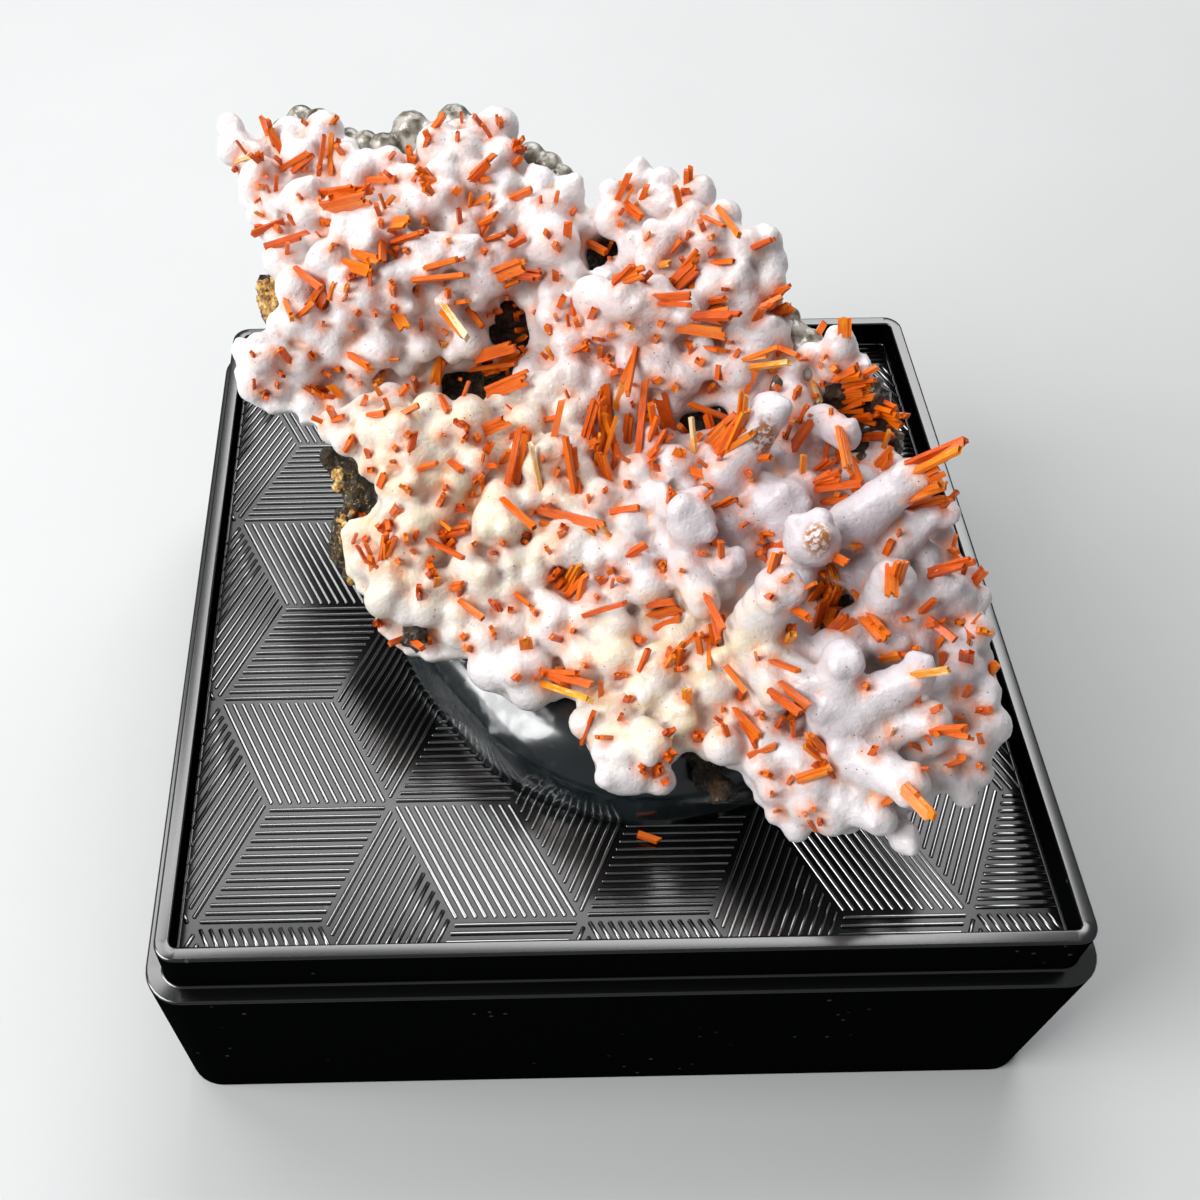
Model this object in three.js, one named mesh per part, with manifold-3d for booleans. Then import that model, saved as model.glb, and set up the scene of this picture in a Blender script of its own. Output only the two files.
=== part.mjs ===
// A crocoite specimen fixed with putty to the base of its display box.
// Millimetres, +Z up. The origin is the middle of the base's underside.

import * as THREE from 'three';
import { mergeVertices } from 'three/addons/utils/BufferGeometryUtils.js';
import Module from 'manifold-3d';

const wasm = await Module();
wasm.setup();

// ---- driving dimensions: the box base ----

const GAP = 0.3; // left between pieces that touch
const RIM_SIDE = 50; // outer side of the raised rim
const RIM_RISE = 3.2; // rim above the ledge that a lid sits on
const RIM_WALL = 0.85;
const RIM_CORNER = 1.2;
const LEDGE_SIDE = 52;
const LEDGE_CORNER = 1.6;
const SKIRT_HEIGHT = 13.6;
const SKIRT_DRAFT = 0.4; // the skirt is this much narrower at its foot, each side
const RECESS_DEPTH = 2;
const SHELL_WALL = 1.5; // wall round the open underside
const HOLLOW_CORNER = 1.7;
const FLOOR_THICKNESS = 1.6;
const CORNER_STEPS = 2;
const OVERSHOOT = 1; // a cutting block reaches this far past the face it opens

const RIM_TOP = SKIRT_HEIGHT + RIM_RISE;
const FLOOR_TOP = RIM_TOP - RECESS_DEPTH;
const HOLLOW_TOP = FLOOR_TOP - FLOOR_THICKNESS;

// ---- driving dimensions: the specimen ----
// The specimen is a slab. U runs to its right, V up its face and N out of its face.

const SLAB_CENTRE_Z = RIM_TOP + 11.9;
const BACK_TILT = 25.8; // degrees, the far edge is the high one
const SIDE_TILT = 12.1; // degrees, the right edge is higher than the left
const CRUST_SHEET = 1.2; // thickness between the lumps
const BORDER = 1.6; // the crust thins over this width towards its edge
const BORDER_DROP = 0.5;
const LUMP_STEP = 1.7; // facets of the crust's front
const FACE_STEP = 3.3; // facets between crust and rock
const BACK_STEP = 4.5; // facets of the rock's back
const BLOCK_WIDTH = 46;
const BLOCK_LENGTH = 58;
const BLOCK_REACH = 14;
const LUMP_PITCH = 3.3;
const LUMP_ROWS = 9; // on each side of the middle
const LUMP_COLUMNS = 7; // on each side of the middle
const LUMP_SHIFT = [-1, 0.5]; // place of the middle lump
const LUMP_JITTER = 0.5; // share of the pitch
const LUMP_RADIUS = 1.45;
const LUMP_SPREAD = 0.4; // radius varies this much either way
const LUMP_STRETCH = 1.5; // a lump stands out more than half a ball
const LUMP_SINK = 0.4;
const FINGER_CAP_STEPS = 2;
const FINGER_SIDES = 6;
const FINGER_DEPTH = 0.8 * CRUST_SHEET; // fingers reach this far into the sheet
const ROCK_EDGE_DEPTH = 3.2;
const ROCK_BULGE = { at: [1, 0], reach: [13, 15], depth: 4.2 };
const ROCK_ROUGHNESS = 1.1;
const ROCK_BACK_SCALE = 0.84; // the rock is narrower at its back
const ROCK_BACK_RELIEF = 0.4; // share of the face's relief that the back follows

// Edge of the white crust, (u, v), clockwise from the left end of the far edge.
const CRUST_EDGE = [
  [-20.5, 24.8], [-17.5, 24.2], [-13.9, 23.6], [-12.6, 21.2], [-9.2, 20.4], [-6.4, 22.4], [-3.6, 21.2],
  [-0.9, 17.2], [1.2, 14.8], [4.2, 15.3], [7.2, 13.6], [10.6, 10.6], [10.9, 6.2], [13.6, 3.8], [14.9, 1.2],
  [15.5, -2.6], [17.4, -6.4], [18.2, -10.4], [17.9, -18.6], [16.2, -20.6], [13.4, -22], [8.8, -22.2],
  [6.4, -21.4], [4.6, -18.4], [2, -17.9], [0.6, -19.4], [-2, -17.8], [-3.4, -14.4], [-6.2, -13.2],
  [-9, -10.9], [-12.4, -10.2], [-13.9, -7.4], [-15, -4.6], [-13.6, -1.4], [-13.9, 0.8], [-17, 4.6],
  [-20.2, 6.2], [-20.2, 8.8], [-17.9, 10.6], [-18, 15.8], [-20, 20.2],
];

// Edge of the rock. It shows past the crust along the left side and in the notch at the front.
const ROCK_EDGE = [
  [-19.6, 23.6], [-14.4, 23.2], [-8.6, 22.2], [-4, 20.6], [-1.2, 16.6], [4, 14.8], [9.8, 10.2], [12.6, 4.8],
  [15.2, 1], [15.2, -3.2], [16.8, -9], [16.6, -18.8], [13.2, -20.8], [8.6, -20.8], [5.6, -19.4],
  [3.6, -20.6], [1.6, -19.2], [-2.8, -16], [-8.4, -10.2], [-12.4, -9.4], [-15.6, -5.2], [-16.3, -1],
  [-16, 2], [-17.6, 4.4], [-17.8, 8.6], [-19.8, 10], [-19.8, 12.8], [-17.8, 14.8], [-19.4, 20],
];

// Large forms of the slab's face: place, reach along u and v, height (negative is a hollow).
const FORMS = [
  { name: 'far left mass', at: [-11.5, 16], reach: [8, 6.5], rise: 2.4 },
  { name: 'ledge under it', at: [-11.5, 7], reach: [5.5, 2.2], rise: -2.4 },
  { name: 'dark hollow', at: [-5.6, 6.8], reach: [3, 2.4], rise: -2.8 },
  { name: 'far right mass', at: [6.5, 11], reach: [5, 4], rise: 1.8 },
  { name: 'gap between masses', at: [2, 11.6], reach: [1.8, 1.6], rise: -2.6 },
  { name: 'middle lobes', at: [3.4, 7.4], reach: [3.6, 2], rise: 1.6 },
  { name: 'slot with the sprays', at: [3, 1.6], reach: [4.5, 1.6], rise: -1.6 },
  { name: 'cream terrace', at: [-10, 1.5], reach: [6, 3.4], rise: 0.8 },
  { name: 'right hollow', at: [13.6, -0.6], reach: [2.4, 2.4], rise: -2 },
  { name: 'finger bed', at: [11.4, -14], reach: [6.4, 7], rise: 1.8 },
  { name: 'groove', at: [2, -10.4], reach: [3, 1.3], rise: -1.4 },
  { name: 'red pocket', at: [10.8, -11.2], reach: [1.6, 1.3], rise: -2.2 },
  { name: 'low front edge', at: [-8, -10.5], reach: [6, 3.5], rise: -1 },
];

// Holes through the crust, where the rock shows: place and half widths.
const HOLES = [
  { at: [-6, 6.8], half: [2.4, 1.7] },
  { at: [2, 11.6], half: [1.1, 0.9] },
  { at: [13.8, -0.4], half: [1.4, 1.6] },
  { at: [5.8, 1.2], half: [1.3, 0.8] },
];

// Fingers and single balls of the crust: from, to, radius, height of each end above the face.
const FINGERS = [
  { from: [5.8, -3.2], to: [9.7, 1], radius: 1.3, lift: [0.8, 2.4] },
  { from: [12.4, -6.8], to: [16.5, -5], radius: 1.2, lift: [1.4, 2.4] },
  { from: [14.2, -7.8], to: [17.3, -7], radius: 1, lift: [0.6, 0.8] },
  { from: [10.3, -7.9], to: [10.4, -7.7], radius: 1.4, lift: [0.6, 2.2] },
  { from: [7.1, -12.6], to: [8, -9.7], radius: 1.6, lift: [0.8, 2.6] },
  { from: [3.4, -8.2], to: [4.6, -11.2], radius: 1.15, lift: [0.6, 1.4] },
  { from: [2.7, -4.4], to: [4.6, -4.1], radius: 0.95, lift: [1.4, 1.6] },
  { from: [3.7, -5.6], to: [3.9, -5.2], radius: 1.25, lift: [0.6, 2] },
  { from: [6.4, -6.3], to: [9.6, -5], radius: 1.2, lift: [0.4, 0.8] },
  { from: [12.4, -1], to: [14.1, -2.2], radius: 1.05, lift: [2, 2.4] },
  { from: [13.4, -10.9], to: [13.6, -10.5], radius: 1.5, lift: [0.2, 0.8] },
  { from: [15.6, -9.6], to: [17.3, -11.9], radius: 1.3, lift: [0.2, 0.2] },
  { from: [10.8, -15.2], to: [14.4, -15.8], radius: 1.7, lift: [0.4, 0.8] },
  { from: [7.6, -14], to: [8.3, -15.4], radius: 1.4, lift: [0.2, 0.8] },
  { from: [12.4, -18.2], to: [15, -17], radius: 1.25, lift: [0.3, 0.6] },
  { from: [10.6, -19], to: [13.2, -20.8], radius: 1.5, lift: [0.2, 1] },
  { from: [9.8, -21.4], to: [11.9, -22.5], radius: 1.15, lift: [0, 0.2] },
  { from: [12.2, -23.4], to: [12.4, -23.6], radius: 0.9, lift: [-1, -0.8] },
  { from: [0.2, -16.1], to: [0.5, -17.2], radius: 0.95, lift: [0.6, 0.9] },
  { from: [-1.2, -16.6], to: [-0.9, -17.6], radius: 1.55, lift: [-0.4, -0.2] },
  { from: [0.9, 8.2], to: [2.1, 7.6], radius: 1.45, lift: [0.6, 0.8] },
  { from: [3.2, 8.4], to: [5.2, 7.2], radius: 1.3, lift: [0.8, 1] },
  { from: [13.8, 3.4], to: [14, 3.6], radius: 1.05, lift: [0.6, 0.8] },
  { from: [12.9, 2.5], to: [14.5, 2.2], radius: 0.8, lift: [0.4, 0.4] },
  { from: [-6.6, -2.6], to: [-6.2, -3.6], radius: 1.4, lift: [0.2, 0.6] },
  { from: [-4.6, -10.4], to: [-3.4, -9.6], radius: 1.25, lift: [0.4, 0.6] },
  { from: [-20, 25], to: [-19.8, 24.6], radius: 1.1, lift: [-0.6, -0.4] },
];

// Glassy grey botryoids that grow on the rock at the slab's edge: centres and radii.
const GREY_PATCHES = {
  grey_botryoids_far_left: [[-17.6, 25, 1], [-16.2, 24.8, 1], [-14.8, 24.3, 1]],
  grey_botryoids_far_middle: [[-9.2, 22.4, 1.2], [-7.6, 23.4, 1.1], [-6, 23.2, 1], [-4.6, 22.4, 0.9]],
  grey_botryoids_right: [[11.9, 5.7, 0.9], [12.8, 4.7, 0.8]],
};

const SPRAY_FAN = 0.62; // how far a group's crystals spread
const SPRAY_LEAN = 0.35; // how much their rise varies
const SPRAY_TAPER = 0.35; // how much shorter the last crystal is than the first
const CRYSTAL_SLANT = 0.6; // slope of a crystal's end face
const BURIED_LENGTH = 0.4;
const ROOT_DEPTH = 0.35;

// Groups of crocoite crystals: root, how far the longest reaches along u and v, how high it
// rises, crystals in the group, width of a crystal.
const SPRAYS = [
  { at: [-17.5, 23], reach: [-0.3, 1.6], rise: 1.4, count: 2, width: 0.5 },
  { at: [-14.1, 20.3], reach: [0.3, 2.6], rise: 1.2, count: 2, width: 0.55 },
  { at: [-16.2, 20.8], reach: [1.3, 0.8], rise: 0.9, count: 1, width: 0.5 },
  { at: [-13.9, 18.6], reach: [2.6, -0.2], rise: 0.9, count: 3, width: 0.7 },
  { at: [-8, 18.3], reach: [-0.8, 0.9], rise: 1, count: 2, width: 0.6 },
  { at: [-17.6, 17.4], reach: [-1.9, -0.4], rise: 0.5, count: 2, width: 0.55 },
  { at: [-13, 14.4], reach: [1.5, -0.8], rise: 0.9, count: 2, width: 0.55 },
  { at: [-8.6, 12.6], reach: [2.2, 0.2], rise: 0.9, count: 2, width: 0.55 },
  { at: [-5.4, 14.8], reach: [1.2, 0.4], rise: 1.1, count: 2, width: 0.5 },
  { at: [-4.6, 11.3], reach: [1.7, 0.4], rise: 1.3, count: 1, width: 0.6 },
  { at: [-15.6, 11.6], reach: [1, 1.2], rise: 0.9, count: 2, width: 0.5 },
  { at: [-8.1, 9.6], reach: [1.1, -1.8], rise: 1.6, count: 1, width: 0.45 },
  { at: [-8.9, 5.3], reach: [0.3, 2.4], rise: 1.6, count: 2, width: 0.45 },
  { at: [-5.9, 5.4], reach: [2.2, 0.8], rise: 2, count: 2, width: 0.6 },
  { at: [-15.8, 5.6], reach: [-0.8, 0.6], rise: 0.7, count: 2, width: 0.55 },
  { at: [2.3, 9.5], reach: [1.2, 0.9], rise: 1, count: 1, width: 0.55 },
  { at: [5.6, 9], reach: [1.5, 1.4], rise: 1, count: 1, width: 0.6 },
  { at: [6.3, 6.5], reach: [2.5, -0.5], rise: 1.4, count: 3, width: 0.65 },
  { at: [2.6, 5], reach: [-0.8, -2.4], rise: 1.3, count: 1, width: 0.45 },
  { at: [0.1, -0.6], reach: [0.3, 3.4], rise: 1.8, count: 3, width: 0.6 },
  { at: [3, 0.6], reach: [0.3, 2.2], rise: 1.6, count: 2, width: 0.5 },
  { at: [-1.7, -2.6], reach: [0.1, 2.6], rise: 1.4, count: 1, width: 0.4 },
  { at: [-5.2, -1.4], reach: [0.4, 2.4], rise: 1.4, count: 2, width: 0.4 },
  { at: [6.3, -1.4], reach: [1.7, 1.6], rise: 1.5, count: 3, width: 0.7 },
  { at: [8.6, 3.4], reach: [1.8, 0.4], rise: 1, count: 2, width: 0.4 },
  { at: [10.8, 6.8], reach: [0.8, 0.5], rise: 1, count: 2, width: 0.5 },
  { at: [13.6, 0.8], reach: [1.4, 0.2], rise: 1.3, count: 3, width: 0.6 },
  { at: [15, -1], reach: [1.1, -0.4], rise: 1.2, count: 2, width: 0.5 },
  { at: [13, -3.6], reach: [0.3, -1.6], rise: 1.4, count: 2, width: 0.7 },
  { at: [11.2, -4.2], reach: [1.6, 0.4], rise: 1, count: 2, width: 0.5 },
  { at: [16.8, -4.4], reach: [2.3, 1.1], rise: 1.6, count: 2, width: 0.7 },
  { at: [17.3, -6.2], reach: [1.2, 0.6], rise: 1.2, count: 3, width: 0.6 },
  { at: [16.6, -9.9], reach: [1.9, 0.2], rise: 1.2, count: 1, width: 0.55 },
  { at: [14.2, -9.6], reach: [-0.3, -1.6], rise: 1.1, count: 1, width: 0.7 },
  { at: [10.6, -11.4], reach: [0.8, 1.2], rise: 1.4, count: 3, width: 0.7 },
  { at: [12.4, -12], reach: [0.9, -1.5], rise: 1, count: 2, width: 0.55 },
  { at: [4.4, -11.4], reach: [-0.1, -1.8], rise: 1.3, count: 2, width: 0.45 },
  { at: [1.4, -10.2], reach: [1.9, 0.3], rise: 1, count: 2, width: 0.55 },
  { at: [-3, -7.8], reach: [0.9, 1.2], rise: 1.3, count: 3, width: 0.6 },
  { at: [-3.8, -4.2], reach: [2.7, -0.9], rise: 0.9, count: 2, width: 0.45 },
  { at: [-9.4, -4.3], reach: [1.1, -0.9], rise: 0.9, count: 1, width: 0.5 },
  { at: [-13.2, -4.4], reach: [0.3, 1.2], rise: 1, count: 2, width: 0.55 },
  { at: [-5, -12.4], reach: [2.6, -1.1], rise: 1.9, count: 2, width: 0.5 },
  { at: [2.4, -13], reach: [0.3, 1.1], rise: 0.9, count: 2, width: 0.55 },
  { at: [8.2, -15.8], reach: [0.9, -1.3], rise: 1.1, count: 1, width: 0.55 },
  { at: [5.2, -16.6], reach: [0.8, -1.3], rise: 1, count: 2, width: 0.55 },
  { at: [9.1, -18.6], reach: [-0.6, 0.9], rise: 0.9, count: 2, width: 0.55 },
  { at: [13.2, -21.4], reach: [0.9, -1.5], rise: 0.9, count: 2, width: 0.65 },
  { at: [14.8, -18.3], reach: [1.4, -0.1], rise: 1, count: 1, width: 0.5 },
  { at: [16.9, -13], reach: [0.5, -1.1], rise: 0.8, count: 1, width: 0.5 },
];

// ---- driving dimensions: putty and loose chip ----

const PUTTY_CENTRE = [2, -3];
const PUTTY_HALF = [15.3, 13.7];
const PUTTY_HEIGHT = 6.2;
const PUTTY_STEPS = 5;
const PUTTY_SIDES = 18;
const PUTTY_FULLNESS = 0.8; // below 1 the side is steeper than a ball's
const CHIP_SIZE = [1.6, 0.5, 0.45];
const CHIP_AT = [2, -17.4];
const CHIP_TURN = -22; // degrees

// ---- materials ----

function material(color, roughness, metalness = 0) {
  return new THREE.MeshStandardMaterial({ color, roughness, metalness });
}

const BLACK_PLASTIC = material(0x101112, 0.4);
const BLACK_PUTTY = material(0x0b0c0d, 0.12);
const BROWN_ROCK = material(0x3a2a1c, 0.85);
const WHITE_CRUST = material(0xe6dcd9, 0.45);
const GREY_GLASS = material(0x7d766c, 0.2);
const ORANGE_CROCOITE = material(0xe2470b, 0.2);

// ---- solids ----

const UP = new THREE.Vector3(0, 1, 0); // the length of a prism or a capsule before it is turned

// A closed mesh as a solid: only positions, with shared corners merged.
function solidFrom(geometry) {
  const bare = geometry.clone();
  bare.deleteAttribute('normal');
  bare.deleteAttribute('uv');
  const merged = mergeVertices(bare, 1e-4);
  const vertProperties = new Float32Array(merged.attributes.position.array);
  const triVerts = new Uint32Array(merged.index.array);
  return new wasm.Manifold(new wasm.Mesh({ numProp: 3, vertProperties, triVerts }));
}

function geometryFrom(solid) {
  const mesh = solid.getMesh();
  const geometry = new THREE.BufferGeometry();
  geometry.setAttribute('position', new THREE.BufferAttribute(mesh.vertProperties, 3));
  geometry.setIndex(new THREE.BufferAttribute(mesh.triVerts, 1));
  geometry.computeVertexNormals();
  return geometry;
}

function joined(solids) {
  return solids.reduce((whole, solid) => whole.add(solid));
}

function largestBody(solid) {
  const bodies = solid.decompose();
  return bodies.reduce((best, body) => (body.volume() > best.volume() ? body : best));
}

function meshOf(name, solid, surface) {
  const mesh = new THREE.Mesh(geometryFrom(solid), surface.clone());
  mesh.name = name;
  return mesh;
}

// Repeatable value from 0 to 1 for a place and a purpose.
function chance(a, b, purpose) {
  const wave = Math.sin(a * 127.1 + b * 311.7 + purpose * 74.7) * 43758.5453;
  return wave - Math.floor(wave);
}

// ---- box base ----

function roundedSquare(side, corner) {
  const half = side / 2;
  const inner = half - corner;
  const outline = new THREE.Shape();
  outline.moveTo(-inner, -half);
  outline.lineTo(inner, -half);
  outline.absarc(inner, -inner, corner, -Math.PI / 2, 0, false);
  outline.lineTo(half, inner);
  outline.absarc(inner, inner, corner, 0, Math.PI / 2, false);
  outline.lineTo(-inner, half);
  outline.absarc(-inner, inner, corner, Math.PI / 2, Math.PI, false);
  outline.lineTo(-half, -inner);
  outline.absarc(-inner, -inner, corner, Math.PI, 1.5 * Math.PI, false);
  return outline;
}

function squareBlock(side, corner, bottom, top) {
  const options = { depth: top - bottom, bevelEnabled: false, curveSegments: CORNER_STEPS };
  const geometry = new THREE.ExtrudeGeometry(roundedSquare(side, corner), options);
  return geometry.translate(0, 0, bottom);
}

// Narrows a block evenly towards z = 0, by draft on each side there.
function drawIn(geometry, side, height, draft) {
  const position = geometry.attributes.position;
  for (let i = 0; i < position.count; i += 1) {
    const share = 1 - position.getZ(i) / height;
    const factor = 1 - (share * draft) / (side / 2);
    position.setX(i, position.getX(i) * factor);
    position.setY(i, position.getY(i) * factor);
  }
  return geometry;
}

function boxBase() {
  const skirt = squareBlock(LEDGE_SIDE, LEDGE_CORNER, 0, SKIRT_HEIGHT);
  const rim = squareBlock(RIM_SIDE, RIM_CORNER, HOLLOW_TOP, RIM_TOP);
  const recessSide = RIM_SIDE - 2 * RIM_WALL;
  const recess = squareBlock(recessSide, RIM_CORNER / 2, FLOOR_TOP, RIM_TOP + OVERSHOOT);
  const hollowSide = LEDGE_SIDE - 2 * SHELL_WALL;
  const hollow = squareBlock(hollowSide, HOLLOW_CORNER, -OVERSHOOT, HOLLOW_TOP);
  const outside = solidFrom(drawIn(skirt, LEDGE_SIDE, SKIRT_HEIGHT, SKIRT_DRAFT)).add(solidFrom(rim));
  const inside = solidFrom(drawIn(hollow, hollowSide, SKIRT_HEIGHT, SKIRT_DRAFT));
  return outside.subtract(solidFrom(recess)).subtract(inside);
}

// ---- the slab's face ----

// From 1 at a form's middle down to 0 past its reach.
function hill({ at, reach }, u, v) {
  const du = (u - at[0]) / reach[0];
  const dv = (v - at[1]) / reach[1];
  return Math.exp(-(du * du + dv * dv));
}

function faceHeight(u, v) {
  return FORMS.reduce((height, form) => height + form.rise * hill(form, u, v), 0);
}

function rockDepth(u, v) {
  const rough = chance(u, v, 1) - 0.5;
  return ROCK_EDGE_DEPTH + ROCK_BULGE.depth * hill(ROCK_BULGE, u, v) + ROCK_ROUGHNESS * rough;
}

function isInside(edge, u, v) {
  let inside = false;
  edge.forEach(([u1, v1], i) => {
    const [u2, v2] = edge[(i + 1) % edge.length];
    const crosses = v1 > v !== v2 > v;
    if (crosses && u < ((u2 - u1) * (v - v1)) / (v2 - v1) + u1) inside = !inside;
  });
  return inside;
}

// The edge moved outwards by a distance, corner by corner. The edge runs clockwise.
function movedOut(edge, distance) {
  return edge.map(([u, v], i) => {
    const [u1, v1] = edge[(i + edge.length - 1) % edge.length];
    const [u2, v2] = edge[(i + 1) % edge.length];
    const along = new THREE.Vector2(u2 - u1, v2 - v1).normalize();
    return [u - along.y * distance, v + along.x * distance];
  });
}

function distanceToEdge(edge, u, v) {
  const place = new THREE.Vector3(u, v, 0);
  const nearest = new THREE.Vector3();
  const side = new THREE.Line3();
  let least = Infinity;
  edge.forEach(([u1, v1], i) => {
    const [u2, v2] = edge[(i + 1) % edge.length];
    side.start.set(u1, v1, 0);
    side.end.set(u2, v2, 0);
    side.closestPointToPoint(place, true, nearest);
    least = Math.min(least, nearest.distanceTo(place));
  });
  return least;
}

// A prism of an edge, through the whole slab, narrower at its back.
function edgePrism(edge, backScale) {
  const outline = new THREE.Shape(edge.map(([u, v]) => new THREE.Vector2(u, v)));
  const reach = BLOCK_REACH - OVERSHOOT;
  const options = { depth: 2 * reach, bevelEnabled: false };
  const geometry = new THREE.ExtrudeGeometry(outline, options).translate(0, 0, -reach);
  const position = geometry.attributes.position;
  for (let i = 0; i < position.count; i += 1) {
    if (position.getZ(i) > 0) continue;
    position.setX(i, position.getX(i) * backScale);
    position.setY(i, position.getY(i) * backScale);
  }
  return solidFrom(geometry);
}

// A block wider than the slab, from far behind it up to a height function on a square grid.
function blockUpTo(height, step) {
  const columns = Math.ceil(BLOCK_WIDTH / step / 2) * 2;
  const rows = Math.ceil(BLOCK_LENGTH / step / 2) * 2;
  const geometry = new THREE.BoxGeometry(columns * step, rows * step, 1, columns, rows, 1);
  const position = geometry.attributes.position;
  for (let i = 0; i < position.count; i += 1) {
    const isFront = position.getZ(i) > 0;
    position.setZ(i, isFront ? height(position.getX(i), position.getY(i)) : -BLOCK_REACH);
  }
  return solidFrom(geometry);
}

// ---- white crust ----

function nearFinger(u, v) {
  return FINGERS.some(({ from, to, radius }) => {
    const middle = new THREE.Vector2((from[0] + to[0]) / 2, (from[1] + to[1]) / 2);
    return middle.distanceTo(new THREE.Vector2(u, v)) < radius + 0.6;
  });
}

// Lumps stand on a jittered triangular grid over the whole face.
function lumps() {
  const found = [];
  const rowStep = LUMP_PITCH * Math.sin(Math.PI / 3);
  for (let row = -LUMP_ROWS; row <= LUMP_ROWS; row += 1) {
    for (let column = -LUMP_COLUMNS; column <= LUMP_COLUMNS; column += 1) {
      const across = column + (row % 2) / 2 + LUMP_JITTER * (chance(row, column, 2) - 0.5);
      const along = row + LUMP_JITTER * (chance(row, column, 3) - 0.5);
      const u = across * LUMP_PITCH + LUMP_SHIFT[0];
      const v = along * rowStep + LUMP_SHIFT[1];
      if (!isInside(CRUST_EDGE, u, v) || nearFinger(u, v)) continue;
      const radius = LUMP_RADIUS + LUMP_SPREAD * (2 * chance(row, column, 4) - 1);
      found.push({ u, v, radius });
    }
  }
  return found;
}

const LUMPS = lumps();

// The crust's front: the face, the lumps on it, and a thinner border.
function crustHeight(u, v) {
  let rise = 0;
  for (const lump of LUMPS) {
    const square = lump.radius ** 2 - (u - lump.u) ** 2 - (v - lump.v) ** 2;
    if (square > 0) rise = Math.max(rise, LUMP_STRETCH * Math.sqrt(square) - LUMP_SINK);
  }
  const inward = Math.min(1, distanceToEdge(CRUST_EDGE, u, v) / BORDER);
  return faceHeight(u, v) + rise * inward - BORDER_DROP * (1 - inward);
}

// Finger and ball shapes. What would reach through the sheet's back is lifted.
function finger({ from, to, radius, lift }, grow) {
  const start = new THREE.Vector3(...from, faceHeight(...from) + lift[0]);
  const end = new THREE.Vector3(...to, faceHeight(...to) + lift[1]);
  const along = end.clone().sub(start);
  const steps = [FINGER_CAP_STEPS, FINGER_SIDES, 1];
  const shape = new THREE.CapsuleGeometry(radius + grow, along.length(), ...steps);
  shape.applyQuaternion(new THREE.Quaternion().setFromUnitVectors(UP, along.normalize()));
  shape.translate(...start.add(end).multiplyScalar(0.5));
  const position = shape.attributes.position;
  for (let i = 0; i < position.count; i += 1) {
    const lowest = faceHeight(position.getX(i), position.getY(i)) - FINGER_DEPTH;
    position.setZ(i, Math.max(position.getZ(i), lowest));
  }
  return solidFrom(shape);
}

function holePlug({ at, half }, grow) {
  const plug = new THREE.CylinderGeometry(1, 1, BLOCK_REACH, 8);
  plug.rotateX(Math.PI / 2);
  plug.scale(half[0] - grow, half[1] - grow, 1);
  plug.translate(at[0], at[1], 0);
  return solidFrom(plug);
}

function crust(grow) {
  const front = blockUpTo((u, v) => crustHeight(u, v) + grow, LUMP_STEP);
  const behind = blockUpTo((u, v) => faceHeight(u, v) - CRUST_SHEET - grow, FACE_STEP);
  const edge = edgePrism(movedOut(CRUST_EDGE, grow), 1);
  const holes = joined(HOLES.map((hole) => holePlug(hole, grow)));
  const sheet = front.intersect(edge).subtract(behind).subtract(holes);
  return joined([sheet, ...FINGERS.map((plan) => finger(plan, grow))]);
}

// ---- rock ----

function rock(grow) {
  const front = blockUpTo((u, v) => faceHeight(u, v) - CRUST_SHEET - GAP + grow, FACE_STEP);
  const backHeight = (u, v) => faceHeight(u, v) * ROCK_BACK_RELIEF - rockDepth(u, v) - grow;
  const edge = edgePrism(movedOut(ROCK_EDGE, grow), ROCK_BACK_SCALE);
  return front.intersect(edge).subtract(blockUpTo(backHeight, BACK_STEP));
}

// ---- grey botryoids ----

function greyPatch(balls) {
  const shapes = balls.map(([u, v, radius]) => {
    const ball = new THREE.OctahedronGeometry(radius, 1);
    ball.translate(u, v, faceHeight(u, v) - CRUST_SHEET);
    return solidFrom(ball);
  });
  return joined(shapes);
}

// ---- crocoite ----

// A four-sided prism along +Y with its foot at the origin and a slanting end face.
function crystal(width, length) {
  const prism = new THREE.BoxGeometry(width, length, width);
  prism.translate(0, length / 2, 0);
  const position = prism.attributes.position;
  for (let i = 0; i < position.count; i += 1) {
    if (position.getY(i) < length / 2) continue;
    position.setY(i, position.getY(i) + CRYSTAL_SLANT * position.getX(i));
  }
  return prism;
}

function crystalAlong(root, direction, width, length) {
  const prism = crystal(width, length);
  prism.rotateY(chance(root.x, direction.y, 6) * Math.PI);
  prism.applyQuaternion(new THREE.Quaternion().setFromUnitVectors(UP, direction));
  prism.translate(root.x, root.y, root.z);
  return solidFrom(prism);
}

function spray(plan, root, grow) {
  const middle = new THREE.Vector3(...plan.reach, plan.rise);
  const length = middle.length();
  const side = new THREE.Vector3(-plan.reach[1], plan.reach[0], 0).normalize();
  const crystals = [];
  for (let i = 0; i < plan.count; i += 1) {
    const fan = plan.count === 1 ? 0 : i / (plan.count - 1) - 0.5;
    const direction = middle.clone().normalize().addScaledVector(side, SPRAY_FAN * fan);
    direction.z += SPRAY_LEAN * (chance(plan.at[0], i, 7) - 0.5);
    direction.normalize();
    const part = length * (1 - SPRAY_TAPER * (fan + 0.5)) + BURIED_LENGTH;
    crystals.push(crystalAlong(root, direction, plan.width + 2 * grow, part + grow));
  }
  return joined(crystals);
}

// Where a ray straight into the face meets a solid.
function rootOn(solid, u, v) {
  const mesh = new THREE.Mesh(geometryFrom(solid));
  const start = new THREE.Vector3(u, v, BLOCK_REACH);
  const ray = new THREE.Raycaster(start, new THREE.Vector3(0, 0, -1));
  return ray.intersectObject(mesh)[0].point;
}

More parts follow.
